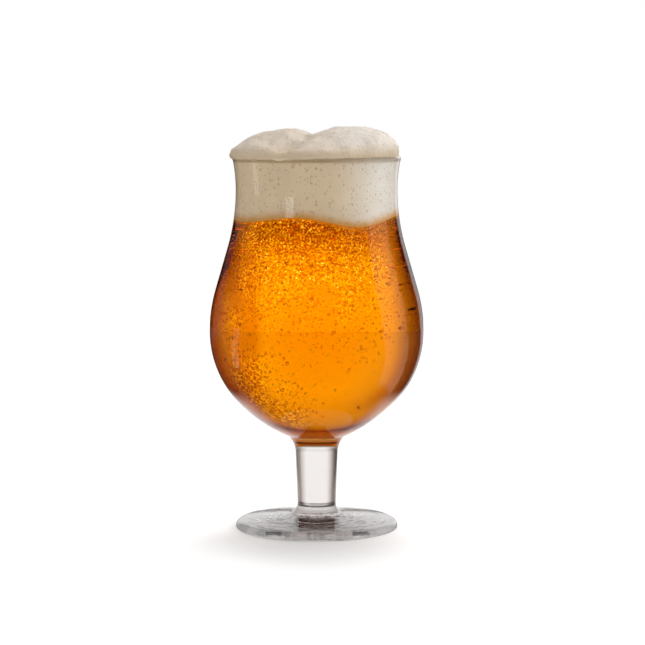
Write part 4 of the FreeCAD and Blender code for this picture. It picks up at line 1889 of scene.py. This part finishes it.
@dataclass(frozen=True)
class Studio:
    """White backdrop, pale floor, soft lights and the camera."""

    ambient: float = 0.8
    overhead_loss: float = 0.42
    lights: tuple[SoftLight, ...] = (
        SoftLight("right_softbox", 78.0, 17.0, 0.38, 50.0),
        SoftLight("rim_strip", 125.0, 34.0, 0.3, 14.0),
        SoftLight("front_fill", -45.0, 10.0, 0.22, 60.0),
        SoftLight("back_softbox", 180.0, 60.0, 0.46, 30.0),
    )
    windows: tuple[Window, ...] = (
        Window(94.0, 17.0, -0.5, 0.75, 0.5),
        Window(157.0, 7.0, -0.5, 0.75, 0.6),
        Window(-104.0, 12.0, -0.5, 0.75, 0.05),
        Window(-132.0, 14.0, -0.045, 0.1, 0.12, 5.0),
        Window(-94.0, 4.0, -0.33, -0.02, 1.4, 1.5),
        Window(-38.0, 5.5, 0.02, 0.17, 3.0, 1.2),
    )
    floor_shade: float = 0.6
    shadow_middle: Point = (-0.005, -0.028)
    shadow_size: Point = (0.052, 0.064)
    shadow_core: float = 0.1
    shadow_depth: float = 0.29
    floor_lift: float = 0.44
    window_height: float = 0.06
    floor_reach: float = 0.9
    camera_place: tuple[float, float, float] = (0.00242, -0.890, 0.1705)
    camera_pitch: float = 5.49
    camera_lens: float = 121.2
    overhead: Span = (0.2, 0.95)
    backdrop_back: Span = (0.84, 0.95)
    backdrop_up: Span = (0.03, 0.1)
    backdrop_level: float = 0.95
    mirror_side: Span = (0.1, 0.06)
    mirror_depth: Span = (0.3, 0.18)
    mirror_behind: Span = (0.0, 0.05)
    mirrored_floor: Colour = (0.02, 0.02, 0.02)

    def build(self) -> None:
        """Set up the light, the floor and the camera."""
        for light in self.lights:
            light.build()
        self.make_world()
        self.make_floor()
        self.make_camera()
        scene = bpy.context.scene
        scene.view_settings.view_transform = "Standard"

    def make_world(self) -> None:
        """White where it is seen, also through the glass, and soft light that fades overhead."""
        world = bpy.data.worlds.new("studio")
        bpy.context.scene.world = world
        world.use_nodes = True
        graph = ShaderGraph(world.node_tree)
        direction = graph.node("ShaderNodeTexCoord", {}, {})["Generated"]
        toward = graph.node("ShaderNodeSeparateXYZ", {}, {0: direction})
        right, back, up = toward["X"], toward["Y"], toward["Z"]
        ambient = self.ambient - up.step(*self.overhead) * self.overhead_loss
        backdrop = back.step(*self.backdrop_back) * up.step(*self.backdrop_up)
        mirrored = self.window_level(right, back, up) + backdrop * self.backdrop_level
        path = graph.path()
        level = self.choose(path["Is Glossy Ray"], ambient, mirrored)
        level = self.choose(path["Is Transmission Ray"], level, 1.02 - up.step(0.3, 0.9) * 0.5)
        level = self.choose(path["Is Camera Ray"], level, 1.0)
        level = self.choose(path["Diffuse Depth"] > 0.5, level, ambient)
        inputs = {"Color": rgba(WHITE), "Strength": level}
        background = graph.node("ShaderNodeBackground", {}, inputs)["Background"]
        graph.node("ShaderNodeOutputWorld", {}, {"Surface": background})

    def window_level(self, right: Value, back: Value, up: Value) -> Value:
        """Work out how bright the reflected windows are in a direction.

        Args:
            right: The direction's part along +X.
            back: Its part along +Y.
            up: Sine of its elevation.

        Returns:
            The brightness.
        """
        turn = right.math("ARCTAN2", right, back * -1.0) * math.degrees(1.0)
        level = up * 0.0
        for window in self.windows:
            level = level + window.level(turn, up)
        return level

    @staticmethod
    def choose(share: Value, one: Term, other: Term) -> Value:
        """First where the share is 0, and the other where it is 1."""
        return (1.0 - share) * one + share * other

    def make_floor(self) -> None:
        """Pale floor that shows white but for the shadow of the glass and a painted shadow around it."""
        material, graph = new_material("pale_floor")
        path = graph.path()
        seen = path["Is Camera Ray"].most(path["Is Transmission Ray"])
        direct = 1.0 - (path["Diffuse Depth"] > 0.5)
        mirrored = graph.mirror_ray() * direct
        place = graph.place()
        right, back = place["X"], place["Y"]
        near = abs(right).step(*self.mirror_side) * back.step(*self.mirror_depth)
        behind = back.step(*self.mirror_behind) * near
        reach = (right * right + back * back + self.window_height ** 2).root()
        windows = self.window_level(right, back, -self.window_height / reach)
        # Painted shadow around the glass's foot, which darkens both the floor's colour and its lift.
        shadow = self.shadow(right, back)
        lift = (seen + mirrored * behind) * direct * self.floor_lift + mirrored * windows
        lift = lift * (1.0 - shadow)
        shade = graph.mix(shadow, (self.floor_shade,) * 3, BLACK)
        inputs = {
            "Base Color": graph.mix(mirrored * (1.0 - behind), shade, self.mirrored_floor),
            "Roughness": 0.9,
            "Specular IOR Level": 0.0,
            "Emission Color": graph.node("ShaderNodeCombineColor", {}, {0: lift, 1: lift, 2: lift})[0],
            "Emission Strength": 1.0,
        }
        graph.surface(graph.principled(inputs))
        mesh = bpy.data.meshes.new("floor")
        reach = self.floor_reach
        corners = [(-reach, -reach, 0), (reach, -reach, 0), (reach, reach, 0), (-reach, reach, 0)]
        mesh.from_pydata(corners, [], [(0, 1, 2, 3)])
        floor = new_piece("floor", mesh, material)

    def shadow(self, right: Value, back: Value) -> Value:
        """Paint a soft shadow into the floor's colour around the glass, on top of the shadow that it
        casts.

        Args:
            right: The point's place along +X.
            back: Its place along +Y.

        Returns:
            How dark it is, from 0 to the shadow's depth.
        """
        aside = (right - self.shadow_middle[0]) / self.shadow_size[0]
        away = (back - self.shadow_middle[1]) / self.shadow_size[1]
        return (aside * aside + away * away).root().step(1.0, self.shadow_core) * self.shadow_depth

    def make_camera(self) -> None:
        """Camera at the angle of the photograph."""
        data = bpy.data.cameras.new("camera")
        data.lens = self.camera_lens
        data.sensor_width = 36.0
        camera = bpy.data.objects.new("camera", data)
        camera.location = self.camera_place
        camera.rotation_euler = Euler((math.radians(90.0 - self.camera_pitch), 0.0, 0.0))
        bpy.context.scene.collection.objects.link(camera)
        bpy.context.scene.camera = camera


def main() -> None:
    """Build the glass, what is in it and the studio."""
    logging.basicConfig(level=logging.INFO, format="%(message)s")
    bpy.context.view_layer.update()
    TulipGlass().build()
    beer = Beer()
    beer.build()
    foam = FoamHead()
    head = foam.build()
    tree = ScatterTree()
    BeerBubbles(beer, tree).build()
    LineBubbles(beer, tree, head).build()
    FoamBubbles(head, tree, foam.bowl.lip_height).build()
    Studio().build()


if __name__ == "__main__":
    main()
